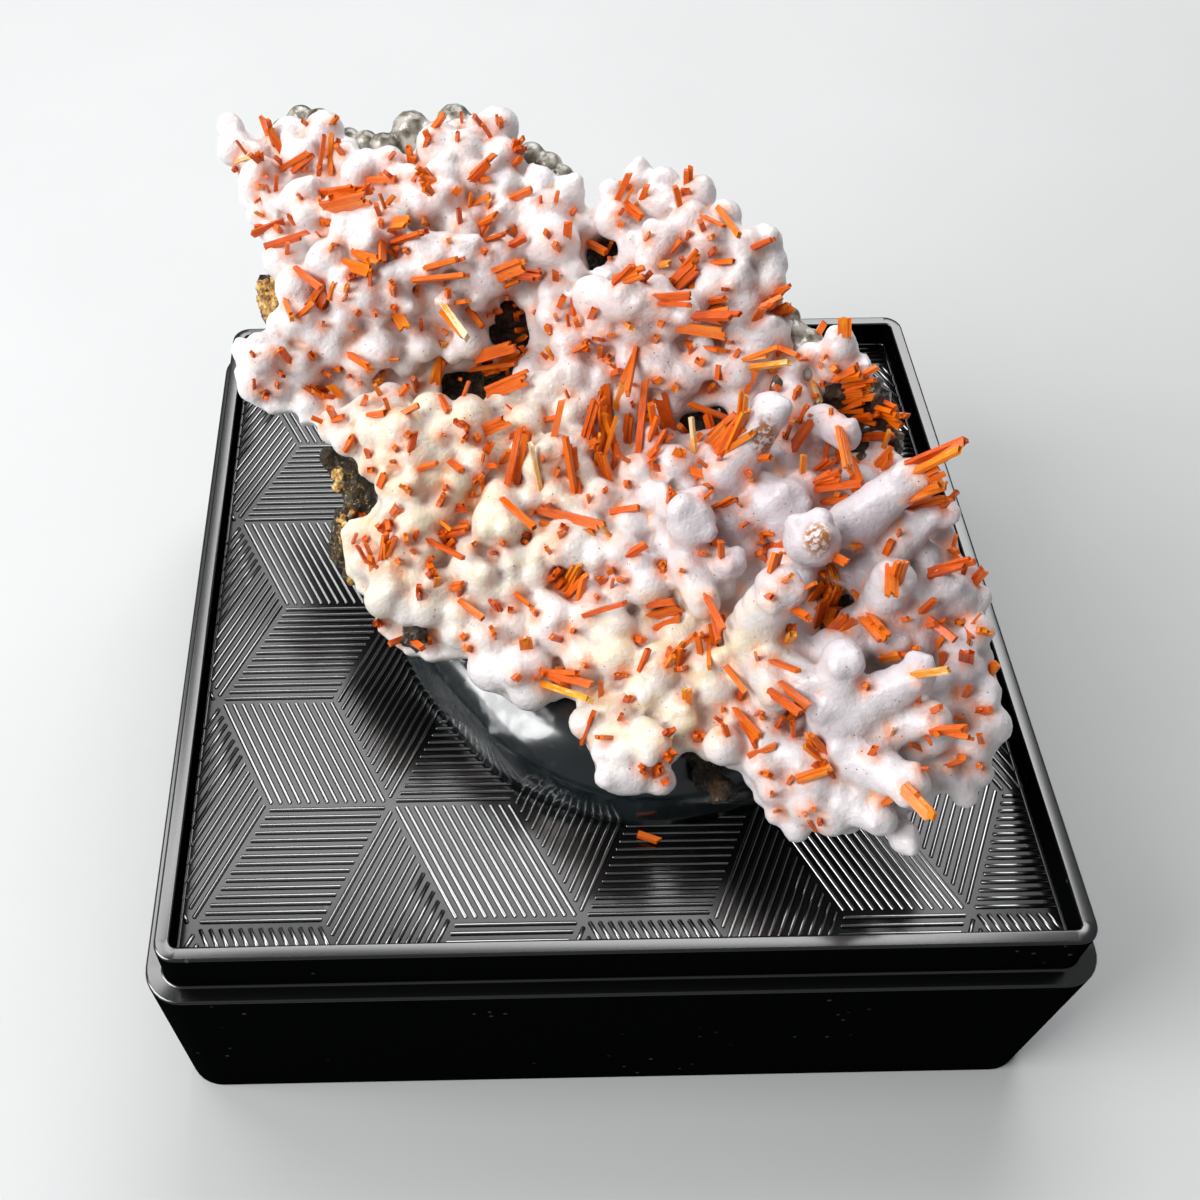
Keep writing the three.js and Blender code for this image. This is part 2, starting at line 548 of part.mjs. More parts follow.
function sprays(ground) {
  const found = [];
  let taken = null;
  for (const plan of SPRAYS) {
    const root = rootOn(ground, ...plan.at);
    root.z -= ROOT_DEPTH;
    let solid = spray(plan, root, 0).subtract(ground);
    if (taken) solid = solid.subtract(taken);
    found.push(largestBody(solid));
    const grown = spray(plan, root, GAP);
    taken = taken ? taken.add(grown) : grown;
  }
  return found;
}

// ---- putty and chip ----

// A puddle of putty, steep at its edge and flat on top.
function puddle() {
  const profile = [new THREE.Vector2(0, 0)];
  for (let i = 0; i < PUTTY_STEPS; i += 1) {
    const angle = (i / PUTTY_STEPS) * (Math.PI / 2);
    profile.push(new THREE.Vector2(Math.cos(angle) ** PUTTY_FULLNESS, Math.sin(angle)));
  }
  profile.push(new THREE.Vector2(0, 1));
  const dome = new THREE.LatheGeometry(profile, PUTTY_SIDES);
  dome.rotateX(Math.PI / 2);
  dome.scale(PUTTY_HALF[0], PUTTY_HALF[1], PUTTY_HEIGHT);
  dome.translate(...PUTTY_CENTRE, FLOOR_TOP);
  return solidFrom(dome);
}

function chip() {
  const prism = new THREE.BoxGeometry(...CHIP_SIZE);
  prism.rotateZ(THREE.MathUtils.degToRad(CHIP_TURN));
  prism.translate(...CHIP_AT, FLOOR_TOP + CHIP_SIZE[2] / 2);
  return solidFrom(prism);
}

// ---- assembly ----

const specimen = new THREE.Group();
specimen.rotation.order = 'YXZ';
specimen.rotation.x = THREE.MathUtils.degToRad(BACK_TILT);
specimen.rotation.y = THREE.MathUtils.degToRad(-SIDE_TILT);
specimen.position.set(0, 0, SLAB_CENTRE_Z);
specimen.updateMatrix();

const grownCrust = crust(GAP);
const grownRock = rock(GAP);
const ground = grownCrust.add(grownRock);

specimen.add(meshOf('matrix_rock', largestBody(rock(0)), BROWN_ROCK));
specimen.add(meshOf('white_crust', largestBody(crust(0)), WHITE_CRUST));

let clearOf = ground;
for (const [name, balls] of Object.entries(GREY_PATCHES)) {
  const patch = largestBody(greyPatch(balls).subtract(ground));
  specimen.add(meshOf(name, patch, GREY_GLASS));
  clearOf = clearOf.add(greyPatch(balls.map(([u, v, radius]) => [u, v, radius + GAP])));
}

sprays(clearOf).forEach((solid, i) => {
  const name = `crocoite_spray_${String(i + 1).padStart(2, '0')}`;
  specimen.add(meshOf(name, solid, ORANGE_CROCOITE));
});

const groundInPlace = geometryFrom(ground).applyMatrix4(specimen.matrix);
const putty = largestBody(puddle().subtract(solidFrom(groundInPlace)));

const object = new THREE.Group();
object.add(meshOf('box_base', boxBase(), BLACK_PLASTIC));
object.add(meshOf('putty', putty, BLACK_PUTTY));
object.add(meshOf('loose_chip', chip(), ORANGE_CROCOITE));
object.add(specimen);

export default object;
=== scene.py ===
"""A crocoite specimen on the black base of its display box: shapes, finishes, light and camera."""

import math
import random

import bmesh
import bpy
import numpy as np
from mathutils import Matrix, Quaternion, Vector, noise
from mathutils.bvhtree import BVHTree
from mathutils.kdtree import KDTree


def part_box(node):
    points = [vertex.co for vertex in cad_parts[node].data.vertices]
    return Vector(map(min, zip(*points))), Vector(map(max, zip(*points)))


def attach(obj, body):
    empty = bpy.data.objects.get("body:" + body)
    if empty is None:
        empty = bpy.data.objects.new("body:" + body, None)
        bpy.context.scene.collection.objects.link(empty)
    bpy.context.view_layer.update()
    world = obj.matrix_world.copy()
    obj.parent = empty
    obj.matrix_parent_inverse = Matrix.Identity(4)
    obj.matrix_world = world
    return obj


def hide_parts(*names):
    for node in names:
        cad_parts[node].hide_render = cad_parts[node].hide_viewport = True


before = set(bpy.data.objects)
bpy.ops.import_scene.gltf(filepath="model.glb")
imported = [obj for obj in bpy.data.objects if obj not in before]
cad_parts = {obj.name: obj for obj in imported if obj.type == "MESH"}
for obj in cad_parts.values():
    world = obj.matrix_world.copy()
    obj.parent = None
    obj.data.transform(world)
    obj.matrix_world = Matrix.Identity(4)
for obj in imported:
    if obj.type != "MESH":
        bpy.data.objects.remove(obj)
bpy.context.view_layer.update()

MM = 0.001  # shapes are made in millimetres and placed in metres

# ---- sizes of the box base, in millimetres ----

BASE_LOW, BASE_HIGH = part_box("box_base")
LEDGE_SIDE = 2 * BASE_HIGH.x / MM
RIM_TOP = BASE_HIGH.z / MM
RIM_SIDE = 50
RIM_RISE = 3.2
RIM_WALL = 0.85
LEDGE_CORNER = 2.2
SKIRT_HEIGHT = RIM_TOP - RIM_RISE
SKIRT_DRAFT = 0.4
RECESS_DEPTH = 2
FLOOR_TOP = RIM_TOP - RECESS_DEPTH
SHELL_WALL = 1.5
FLOOR_THICKNESS = 1.6
EDGE_ROUNDING = 0.16

# ---- ribs on the recess floor ----
# The floor is tiled with rhombi. Each has ribs along one of three directions.

TILE_SIDE = 7.09
ROW_STEP = 7.34
TILE_ORIGIN = (-19.79, -14.77)
RIB_PITCH = 0.49
RIB_WIDTH = 0.3
RIB_HEIGHT = 0.13
RIB_MARGIN = 0.16  # plain channel left at each side of a rhombus
RIB_CLEARANCE = 0.15  # between the end of a rib and the rim
RECESS_HALF = RIM_SIDE / 2 - RIM_WALL - RIB_CLEARANCE
SHORTEST_RIB = 0.5

# ---- the specimen's slab: u to its right, v up its face, n out of its face, in millimetres ----

SLAB_CENTRE = Vector((0, 0, RIM_TOP + 11.9))
BACK_TILT = math.radians(25.8)
SIDE_TILT = math.radians(-12.1)
SLAB = (
    Matrix.Translation(SLAB_CENTRE) @ Matrix.Rotation(SIDE_TILT, 4, "Y") @ Matrix.Rotation(BACK_TILT, 4, "X")
)
TO_METRES = Matrix.Scale(MM, 4)

# ---- camera ----

CAMERA_PLACE = Vector((-8.48, -55.69, 86.21))
CAMERA_YAW = math.radians(0.26)
CAMERA_PITCH = math.radians(50.15)
CAMERA_ROLL = math.radians(-0.88)
CAMERA_LENS = 41.84
CAMERA_SHIFT = (0.1147, -0.0365)
CAMERA_ON_SLAB = SLAB.inverted() @ CAMERA_PLACE

# Places on the specimen are given where the camera's line of sight crosses a plane at this height
# above the slab's middle. The lump or crystal lies lower or higher on the same line.
READING_HEIGHT = 1.5

# Large forms of the face: middle, reach along u and v, height (negative is a hollow).
FORMS = (
    ((-11.5, 16), (8, 6.5), 2.4),  # far left mass
    ((-11.5, 7), (5.5, 2.2), -2.4),  # ledge under it
    ((-5.6, 6.8), (3, 2.4), -2.8),  # dark hollow
    ((6.5, 11), (5, 4), 1.8),  # far right mass
    ((2, 11.6), (1.8, 1.6), -2.6),  # gap between the masses
    ((3.4, 7.4), (3.6, 2), 1.6),  # middle lobes
    ((3, 1.6), (4.5, 1.6), -1.6),  # slot with the tall crystals
    ((-10, 1.5), (6, 3.4), 0.8),  # cream terrace
    ((13.6, -0.6), (2.4, 2.4), -2),  # right hollow
    ((11.4, -14), (6.4, 7), 0.8),  # finger bed
    ((2, -10.4), (3, 1.3), -1.4),  # groove
    ((10.8, -11.2), (1.6, 1.3), -2.2),  # red pocket
    ((-8, -10.5), (6, 3.5), -1),  # low front edge
)

# Edge of the white crust, (u, v), clockwise from the left end of the far edge.
CRUST_EDGE = (
    (-20.5, 24.8), (-17.5, 24.2), (-13.9, 23.6), (-12.6, 21.2), (-9.2, 20.4), (-6.4, 22.4), (-3.6, 21.2),
    (-0.9, 17.2), (1.2, 14.8), (4.2, 15.3), (7.2, 13.6), (10.6, 10.6), (10.9, 6.2), (13.6, 3.8), (14.9, 1.2),
    (15.5, -2.6), (17.4, -6.4), (18.2, -12.6), (18.1, -18.9), (16.2, -22.2), (15.4, -20.4), (13.4, -22),
    (8.8, -22.6), (7.3, -22.6), (6.2, -21.6), (5.6, -19.6), (4.6, -18.4), (2.3, -17.3), (1, -17.9),
    (0.5, -19), (-0.8, -18.5), (-1.8, -17.4), (-2.8, -16.5), (-3.3, -14.5), (-3.8, -13.2), (-6.8, -13.2),
    (-8.4, -12), (-9.1, -10.5), (-12, -10.4), (-14.1, -8.7), (-15.1, -6.5), (-15.5, -5.2), (-16.3, -3.4),
    (-15.6, -2.1), (-14, -1.2), (-13.5, 0), (-14.3, 1.8), (-15.7, 3.3), (-18.3, 6.1),
    (-20.2, 6.2), (-20.2, 8.8), (-17.9, 10.6), (-18, 15.8), (-20, 20.2),
)

# Holes through the crust, where the rock shows: middle and half widths.
HOLES = (
    ((-7.3, 6.4), (2.1, 1.3)),
    ((-4.7, 8.9), (1.1, 1.3)),
    ((1.9, 12.2), (1.2, 1.0)),
    ((13.9, 0), (1.5, 2)),
    ((5.8, 1.2), (1.3, 0.8)),
    ((-12.2, 10.2), (0.7, 0.7)),
    ((-7.5, -4.4), (0.5, 0.4)),
    ((3.4, -19.6), (1.2, 1.6)),
)

# Round lumps of the crust: u, v, radius.
LUMPS_FAR_LEFT = (
    (-20.2, 24.7, 0.8), (-20.1, 23.1, 1.0), (-16.4, 23.1, 1.1), (-14.2, 22.9, 1.2), (-18.8, 22.2, 0.9),
    (-18.5, 20.5, 1.3), (-15.9, 21.5, 1.1), (-17.7, 18.8, 0.9), (-16.0, 18.7, 1.2), (-13.0, 20.9, 0.9),
    (-11.8, 20.2, 0.85), (-10.4, 20.0, 0.9), (-12.5, 19.6, 0.9), (-7.2, 20.3, 1.3), (-5.7, 19.6, 1.2),
    (-3.5, 20.7, 1.2), (-4.5, 20.8, 0.9), (-3.7, 18.6, 1.3), (-5.5, 17.9, 1.2), (-7.1, 18.3, 1.1),
    (-3.7, 16.9, 1.15), (-1.5, 16.6, 0.9), (-7.2, 16.8, 1.1), (-8.7, 16.7, 1.1), (-1.5, 14.15, 1.6),
    (-3.7, 15.0, 1.1), (-1.2, 12.6, 1.5), (-12.1, 14.9, 1.1), (-4.3, 12.6, 1.1), (-5.2, 11.2, 1.1),
    (-10.8, 11.5, 0.85), (-10.3, 10.5, 0.7), (-17.4, 15.0, 1.3), (-14.8, 14.2, 1.2), (-17.9, 16.7, 0.8),
    (-15.8, 17.5, 0.85), (-14.0, 17.6, 0.85), (-12.5, 17.1, 0.8), (-11.0, 16.5, 0.85), (-13.6, 12.1, 1.35),
    (-12.6, 11.6, 1.2), (-12.0, 10.7, 1.0), (-16.9, 12.9, 1.2), (-16.9, 10.8, 1.3), (-15.8, 9.9, 1.2),
    (-14.9, 8.5, 1.05), (-14.2, 10.2, 0.9), (-18.9, 8.7, 1.45), (-17.1, 7.7, 1.4), (-19.9, 7.2, 1.1),
    (-20.35, 9.3, 0.75), (-18.4, 6.9, 0.9),
)
LUMPS_FAR_RIGHT = (
    (0.05, 15.5, 1.0), (4.35, 15.85, 0.85), (5.7, 15.0, 0.9), (5.3, 13.85, 0.95), (7.5, 14.0, 1.0),
    (6.9, 13.8, 0.85), (2.55, 15.2, 0.65), (2.5, 13.4, 1.05), (6.7, 12.35, 1.1), (8.8, 12.2, 0.9),
    (5.1, 11.6, 1.0), (3.65, 11.45, 1.05), (4.2, 10.4, 0.8), (7.7, 11.15, 1.05), (9.4, 10.05, 1.2),
    (10.75, 10.2, 0.95), (10.7, 8.8, 1.0), (7.6, 8.2, 1.15), (8.8, 8.2, 1.05), (8.9, 6.7, 1.15),
    (10.5, 7.8, 1.0), (5.8, 7.0, 1.0), (0.7, 8.75, 1.2), (2.3, 10.2, 0.7), (1.6, 9.75, 0.8),
    (3.1, 8.1, 1.15), (4.3, 8.5, 0.8), (3.0, 6.7, 1.05), (4.65, 6.5, 0.9), (1.0, 6.6, 0.8),
    (2.1, 5.7, 0.6), (-1.0, 6.3, 1.15), (-1.5, 9.5, 0.95), (-1.65, 8.05, 1.05), (-0.4, 10.5, 0.85),
    (3.3, 3.9, 1.1), (4.9, 3.1, 1.2), (4.15, 4.5, 0.85), (2.3, 4.5, 0.9), (6.15, 3.7, 1.0),
    (8.0, 3.0, 1.2), (8.5, 4.9, 0.9), (10.0, 4.7, 1.1), (9.05, 3.85, 1.05), (-1.2, -0.1, 1.0),
    (-2.8, -0.2, 1.15), (-1.4, 2.05, 1.05), (-0.6, 2.5, 0.9), (-2.7, 3.6, 1.15), (-1.15, 4.1, 1.1),
    (2.65, -0.4, 0.8),
)
LUMPS_LOWER_LEFT = (
    (-11.8, 4.4, 1.2), (-13.1, 4.1, 1.1), (-11.4, 2.6, 1.4), (-12.75, 3.0, 1.2), (-13.9, 3.95, 0.9),
    (-15.3, 3.7, 1.0), (-14.65, 2.65, 0.9), (-9.4, 3.5, 1.2), (-7.3, 2.85, 1.15), (-7.55, 1.8, 1.1),
    (-8.8, 2.15, 1.2), (-10.6, 1.1, 1.2), (-12.1, 1.2, 1.1), (-13.2, 1.1, 0.8), (-9.2, 0.6, 0.9),
    (-10.1, -0.5, 1.15), (-11.1, -0.85, 1.0), (-12.3, -0.5, 0.9), (-8.4, -0.7, 0.9), (-7.25, 0.1, 0.85),
    (-6.05, -2.2, 0.95), (-6.4, -3.7, 1.4), (-11.0, -3.0, 1.15), (-12.2, -2.2, 0.9), (-9.7, -2.5, 0.9),
    (-9.0, -1.95, 0.85), (-13.0, -3.0, 0.8), (-12.1, -4.4, 1.1), (-10.8, -4.3, 1.1), (-8.25, -5.05, 0.8),
    (-12.9, -5.9, 1.15), (-11.5, -6.4, 1.15), (-13.3, -7.0, 1.1), (-10.9, -7.75, 1.3), (-12.15, -7.9, 0.9),
    (-9.1, -8.4, 1.1), (-7.8, -6.7, 1.15), (-8.5, -5.95, 0.9), (-7.45, -7.8, 0.9), (-6.7, -6.55, 0.9),
    (-6.2, -7.7, 1.0), (-9.85, -6.8, 0.9), (-9.35, -9.5, 1.0), (-7.7, -10.1, 1.3), (-6.2, -9.4, 1.1),
    (-7.6, -11.8, 1.35), (-5.9, -12.2, 1.35), (-5.7, -13.2, 1.2), (-4.3, -9.15, 1.1), (-3.7, -10.6, 1.1),
    (-2.2, -10.0, 1.15), (-1.4, -9.6, 0.9), (-3.7, -0.8, 1.05), (-4.25, 0.1, 0.8), (-4.4, -2.6, 0.9),
    (-2.95, -2.4, 1.0), (-1.5, -1.5, 0.9), (-1.9, -3.35, 0.9), (-0.45, -3.1, 0.9), (-1.6, -4.85, 1.0),
    (-2.6, -5.8, 1.1), (-1.1, -6.35, 1.1), (-4.0, -5.7, 0.85), (-5.75, -6.05, 0.9), (-4.7, -6.85, 0.95),
    (-2.95, -4.8, 0.8), (0.1, -6.4, 1.1), (-1.7, -8.6, 0.8), (-0.1, -8.5, 0.95), (-1.0, -10.75, 1.3),
    (-2.5, -12.0, 1.2), (-0.9, -12.3, 1.2), (-1.4, -14.7, 1.1), (0.1, -14.1, 1.0), (-2.9, -15.5, 0.9),
    (-1.4, -16.9, 1.45), (-1.4, -18.2, 1.3),
)
LUMPS_LOWER_RIGHT = (
    (3.85, -1.95, 1.05), (1.8, -2.05, 1.0), (2.55, -3.65, 0.85), (3.0, -5.1, 0.8), (2.8, -6.4, 0.8),
    (6.4, -5.5, 1.15), (8.2, -4.65, 1.25), (8.85, -5.9, 1.2), (10.4, -4.45, 0.95), (9.3, -5.0, 0.85),
    (11.8, -8.4, 0.7), (9.75, -6.2, 0.9), (4.0, -8.2, 1.3), (5.5, -8.1, 1.1), (3.9, -9.7, 1.0),
    (5.2, -9.1, 0.8), (8.65, -8.5, 1.0), (9.6, -9.3, 0.7), (11.7, -9.5, 0.65), (13.6, -8.4, 0.95),
    (14.9, -8.35, 0.8), (13.75, -9.85, 1.0), (12.6, -10.1, 0.85), (13.4, -11.2, 1.2), (14.5, -10.8, 0.85),
    (16.0, -9.2, 0.8), (15.9, -10.9, 0.95), (17.0, -11.5, 1.1), (17.55, -10.45, 0.8), (18.1, -11.85, 0.7),
    (11.8, -12.3, 1.0), (13.8, -12.6, 1.0), (15.1, -12.9, 1.0), (13.0, -13.55, 1.0), (14.5, -13.8, 0.95),
    (16.2, -13.9, 0.8), (17.3, -13.9, 0.9), (17.9, -13.4, 0.7), (7.6, -13.15, 1.4), (8.6, -13.45, 1.1),
    (7.0, -14.9, 1.15), (8.25, -14.8, 1.1), (6.8, -15.6, 0.9), (5.6, -13.9, 0.85), (10.6, -13.75, 1.4),
    (11.3, -13.3, 1.0), (9.6, -17.2, 1.2), (10.6, -17.6, 1.1), (13.4, -17.75, 1.2), (14.4, -18.3, 1.2),
    (15.3, -17.2, 0.95), (12.0, -18.1, 0.9), (15.3, -16.05, 0.8), (16.65, -15.4, 1.1), (17.4, -16.7, 0.85),
    (16.4, -17.2, 0.9), (17.5, -18.4, 0.95), (16.4, -19.5, 0.8), (15.0, -20.4, 0.45), (13.3, -19.3, 0.6),
    (6.35, -17.5, 1.0), (7.3, -18.5, 1.05), (5.95, -19.0, 0.95), (8.3, -19.8, 1.1), (9.6, -18.3, 0.8),
    (6.3, -20.2, 0.85), (0.9, -11.1, 1.1), (2.6, -11.4, 1.1), (1.3, -13.0, 1.2), (3.7, -13.35, 1.25),
    (2.9, -12.65, 0.9), (4.0, -14.55, 1.1), (0.75, -14.2, 1.1), (2.0, -15.4, 1.0), (2.0, -16.2, 0.9),
    (4.05, -17.6, 1.0), (-0.75, -18.4, 1.1), (0.5, -19.0, 0.8), (0.9, -7.4, 0.85), (1.4, -8.65, 1.1),
    (0.5, -6.5, 0.8), (7.8, -21.2, 1.0), (8.8, -22.0, 0.9),
)
LUMPS = LUMPS_FAR_LEFT + LUMPS_FAR_RIGHT + LUMPS_LOWER_LEFT + LUMPS_LOWER_RIGHT

# Fingers and single balls: from, to, radius at each end, height of each end above the face.
FINGERS = (
    ((6.6, -2.9), (9.4, 0.15), (1.4, 1.1), (0.8, 2.4)),
    ((12.6, -6.9), (16.0, -4.8), (1.4, 1.1), (1.5, 2.9)),
    ((14.4, -7.55), (17.1, -7.1), (1.0, 0.85), (0.9, 1.2)),
    ((10.4, -7.6), (10.4, -7.4), (1.35, 1.45), (1.2, 2.8)),
    ((6.4, -11.9), (8.2, -9.8), (1.45, 1.3), (1.2, 3.2)),
    ((3.7, -7.7), (4.2, -10.0), (1.2, 0.95), (0.7, 1.6)),
    ((5.0, -7.6), (5.9, -8.1), (1.0, 0.9), (0.5, 1.1)),
    ((3.2, -4.3), (4.55, -4.25), (0.85, 0.8), (1.2, 1.7)),
    ((4.1, -5.6), (4.15, -5.4), (1.35, 1.4), (0.6, 1.8)),
    ((6.4, -5.7), (9.6, -4.8), (1.1, 1.1), (0.4, 0.8)),
    ((12.05, -0.85), (13.1, -1.9), (1.0, 0.85), (1.6, 2.2)),
    ((13.3, -11.5), (14.1, -10.2), (1.3, 1.2), (0.8, 1.9)),
    ((15.4, -11.7), (16.6, -11.0), (1.0, 0.95), (0.5, 0.9)),
    ((13.0, -9.6), (15.5, -7.9), (1.1, 0.9), (0.5, 1.1)),
    ((9.8, -16.9), (10.8, -14.0), (1.45, 1.15), (0.9, 2.3)),
    ((10.2, -16.9), (14.4, -15.3), (1.4, 1.0), (1.0, 2.4)),
    ((6.8, -13.2), (7.1, -15.3), (1.35, 1.0), (0.9, 1.6)),
    ((7.3, -13.5), (8.9, -14.9), (1.2, 0.9), (0.9, 1.6)),
    ((12.3, -17.9), (14.7, -17.7), (1.15, 0.95), (0.8, 1.5)),
    ((10.6, -19.0), (12.9, -20.8), (1.35, 1.1), (0.8, 1.7)),
    ((9.8, -21.3), (11.2, -22.3), (1.05, 0.95), (0.3, 0.6)),
    ((12.2, -23.2), (12.3, -23.5), (0.85, 0.85), (-0.6, -0.4)),
    ((12.0, -12.5), (12.0, -12.4), (1.0, 1.0), (0.2, 0.8)),
    ((13.3, -13.9), (13.4, -13.8), (0.95, 0.95), (0.2, 0.7)),
    ((0.1, -16.5), (0.4, -17.1), (0.95, 1.0), (0.7, 1.1)),
    ((0.9, 8.5), (2.6, 8.1), (1.2, 1.15), (0.6, 0.9)),
    ((3.1, 8.1), (5.6, 7.0), (1.1, 1.0), (0.8, 1.1)),
    ((13.7, 3.1), (13.7, 3.2), (1.0, 1.0), (0.5, 0.8)),
    ((12.0, 3.05), (12.0, 3.1), (0.65, 0.65), (0.2, 0.4)),
    ((12.9, 2.0), (14.5, 1.65), (0.8, 0.75), (0.3, 0.4)),
    ((-6.2, -2.8), (-6.4, -3.7), (1.2, 1.4), (0.2, 0.6)),
    ((-4.4, -10.3), (-3.9, -9.4), (1.1, 1.1), (0.4, 0.6)),
    ((-13.4, 16.1), (-10.65, 16.0), (1.05, 1.05), (0.4, 0.6)),
    ((-8.9, 13.9), (-6.5, 13.1), (1.15, 1.15), (0.5, 0.8)),
    ((-11.4, 12.4), (-8.4, 12.8), (0.88, 0.88), (0.4, 0.9)),
    ((-7.8, 10.3), (-7.8, 10.25), (0.65, 0.65), (0.9, 1.2)),
    ((-6.05, 9.8), (-6.05, 9.75), (0.5, 0.5), (0.4, 0.6)),
)

# Lumps in hollows: u, v, radius, height above the face.
LOW_LUMPS = (
    (-13.3, 7.6, 1.3, -0.3), (-12.1, 8.1, 1.3, -0.3), (-13.6, 6.1, 1.2, -0.3), (-9.5, 7.6, 1.0, -0.3),
    (-6.7, 7.5, 1.15, -0.3), (-7.8, 6.9, 0.7, -0.3), (-10.7, 6.8, 0.9, -0.3), (8.1, 1.1, 1.2, -0.6),
    (9.05, 2.1, 1.2, -0.8), (4.0, 1.7, 1.1, -0.3), (9.9, -2.5, 0.85, -0.4), (6.9, -7.45, 0.95, -0.5),
)

SHEET_SPAN = 52
SHEET_PITCH = 0.5
SHEET_DROP = 0.15
SHEET_THICKNESS = 1.0
SHEET_MARGIN = 0.4  # how far the sheet reaches past the crust's listed edge
SHEET_RAGGEDNESS = 0.45
SHEET_WAVES = 0.9  # how close together the ragged edge's bends are
HOLE_LIP = -0.15  # how far the sheet reaches past the listed edge of a hole
EDGE_LUMP_PITCH = 1.1
EDGE_LUMP_SHIFT = 0.3
EDGE_LUMP_INSET = 0.985
EDGE_LUMP_SIZE = (0.5, 0.85)
EDGE_LUMP_DROP = (0.3, 0.9)
BARE_EDGE = (-9, 7)  # left of this u and nearer than this v the sheet's edge is bare
LUMP_GROWTH = 1.12  # lumps overlap, so each is a little larger than what shows of it
LUMP_LIFT = 0.22  # share of its radius that a lump's middle stands above the face
LUMP_UNEVENNESS = 0.3
KNOB_SIZE = (0.38, 0.6)  # share of the lump's radius
KNOB_COUNTS = (0, 0, 0, 1, 1, 2)  # half of the lumps have none
KNOB_LEAN = (0.3, 1.3)  # radians away from straight up
KNOB_SINK = 0.35  # share of its own size that a knob's middle lies inside the lump
TIP_KNOBS = 3  # knobs on the tip of a finger
FINGER_STEP = 1.0  # share of its radius between the lumps that a finger is made of
FINGER_FOOT = 0.85
FINGER_LIFT = 1.35  # how much higher the fingers stand than their listed heights
FILLER_SIZES = (1.3, 1.0, 0.75)
FILLER_TRIES = 900
FILLER_ROOM = 0.72  # share of both radii that has to lie between a filler and any other lump
FILLER_LIFT = -0.25
FACE_U = (-21, 19)
FACE_V = (-24, 25)
CRUST_VOXEL = 0.24
CRUST_SMOOTHING = 1
CRUST_BUMPS = ((1.6, 0.14, 3), (0.6, 0.04, 9))  # size, height and seed of each layer of noise
CREVICE_ROUNDS = 10  # rounds of smoothing that a crevice's depth is measured against

# Grey botryoids on the rock at the slab's edge: u, v, radius.
GREY_BALLS = {
    "grey_botryoids_far_left": (
        (-17.3, 24.8, 0.85), (-16.1, 25.3, 1.0), (-14.9, 24.8, 0.95), (-15.6, 24.4, 0.8), (-14.1, 24.1, 0.8),
    ),
    "grey_botryoids_far_middle": (
        (-13.0, 22.9, 0.8), (-11.9, 22.3, 0.85), (-10.8, 21.8, 0.85), (-9.0, 22.6, 1.3), (-6.3, 22.7, 1.2),
        (-4.9, 21.9, 1.0), (-7.6, 21.8, 1.0), (-3.4, 20.6, 0.8), (-1.9, 19.4, 0.95), (-0.9, 18.6, 0.9),
        (-0.2, 17.7, 0.8),
    ),
    "grey_botryoids_right": (
        (11.6, 5.2, 0.9), (11.5, 6.2, 0.7), (12.4, 4.6, 0.8), (11.8, 4.0, 0.75), (11.7, 2.9, 0.8),
        (10.9, 2.6, 0.8), (10.2, 2.4, 0.85),
    ),
}
GREY_VOXEL = 0.14
GREY_SMOOTHING = 3
GREY_DROP = 0.6
GREY_FOOT = Vector((0, -0.5, -0.6))  # from a ball to the one under it that joins it to the rock

# Rough bits of rock that show beside and through the crust: u, v, radius, height above the face.
# The three at one place reach down through the crust, so that the upper one is joined to the rock.
ROCK_BITS = (
    (-18.4, 12.9, 0.8, -1.7), (-18.1, 11.6, 0.8, -1.7), (-15.6, 1.6, 0.6, -1.8), (-15, 0.5, 0.7, -1.6),
    (-14.6, -0.6, 0.8, -1.5), (-14.7, -1.8, 0.8, -1.5), (-15.2, -2.9, 0.7, -1.7), (-15.6, -4.2, 0.6, -1.9),
    (-15.4, -5.4, 0.5, -1.9), (-11.8, -9.3, 0.6, 0.4), (-11.8, -9.3, 0.6, -0.8), (-11.8, -9.3, 0.6, -1.8),
    (2.9, -19.2, 0.8, -2.2), (3.7, -20, 0.7, -2.2), (13.3, 0.9, 1.2, -1.4), (14.4, 0.5, 1, -1.5),
    (14.6, -0.4, 1.2, -1.6), (13.3, -0.8, 1.2, -1.6), (13, -2.2, 1.4, -1.6), (14.2, -2.4, 1.5, -1.6),
    (15, -1.4, 1.2, -1.6), (12.4, 0.4, 1.2, -1.8), (12.2, -2.8, 1.2, -1.8), (14.7, -3.2, 1.3, -1.8),
    (13.6, -3.6, 1.3, -1.8),
)

# Patches of small golden grains on the rock's edge: middle, reach, number of grains.
GOLD_PATCHES = (
    ((-18.9, 12.9), (0.8, 0.8), 110),
    ((-18.5, 11.3), (0.6, 1.0), 110),
    ((-15.5, 0.4), (0.3, 0.6), 26),
    ((-15.4, -2.6), (0.25, 0.8), 22),
    ((-15.1, -6.4), (0.2, 1.0), 24),
)
GRAIN_SIZE = (0.1, 0.28)
GRAIN_BUMPS = (0.3, 0.1, 4)
ROCK_VOXEL = 0.32
ROCK_SMOOTHING = 1
ROCK_BUMPS = ((3.0, 0.8, 1), (1.1, 0.5, 2), (0.5, 0.35, 5))

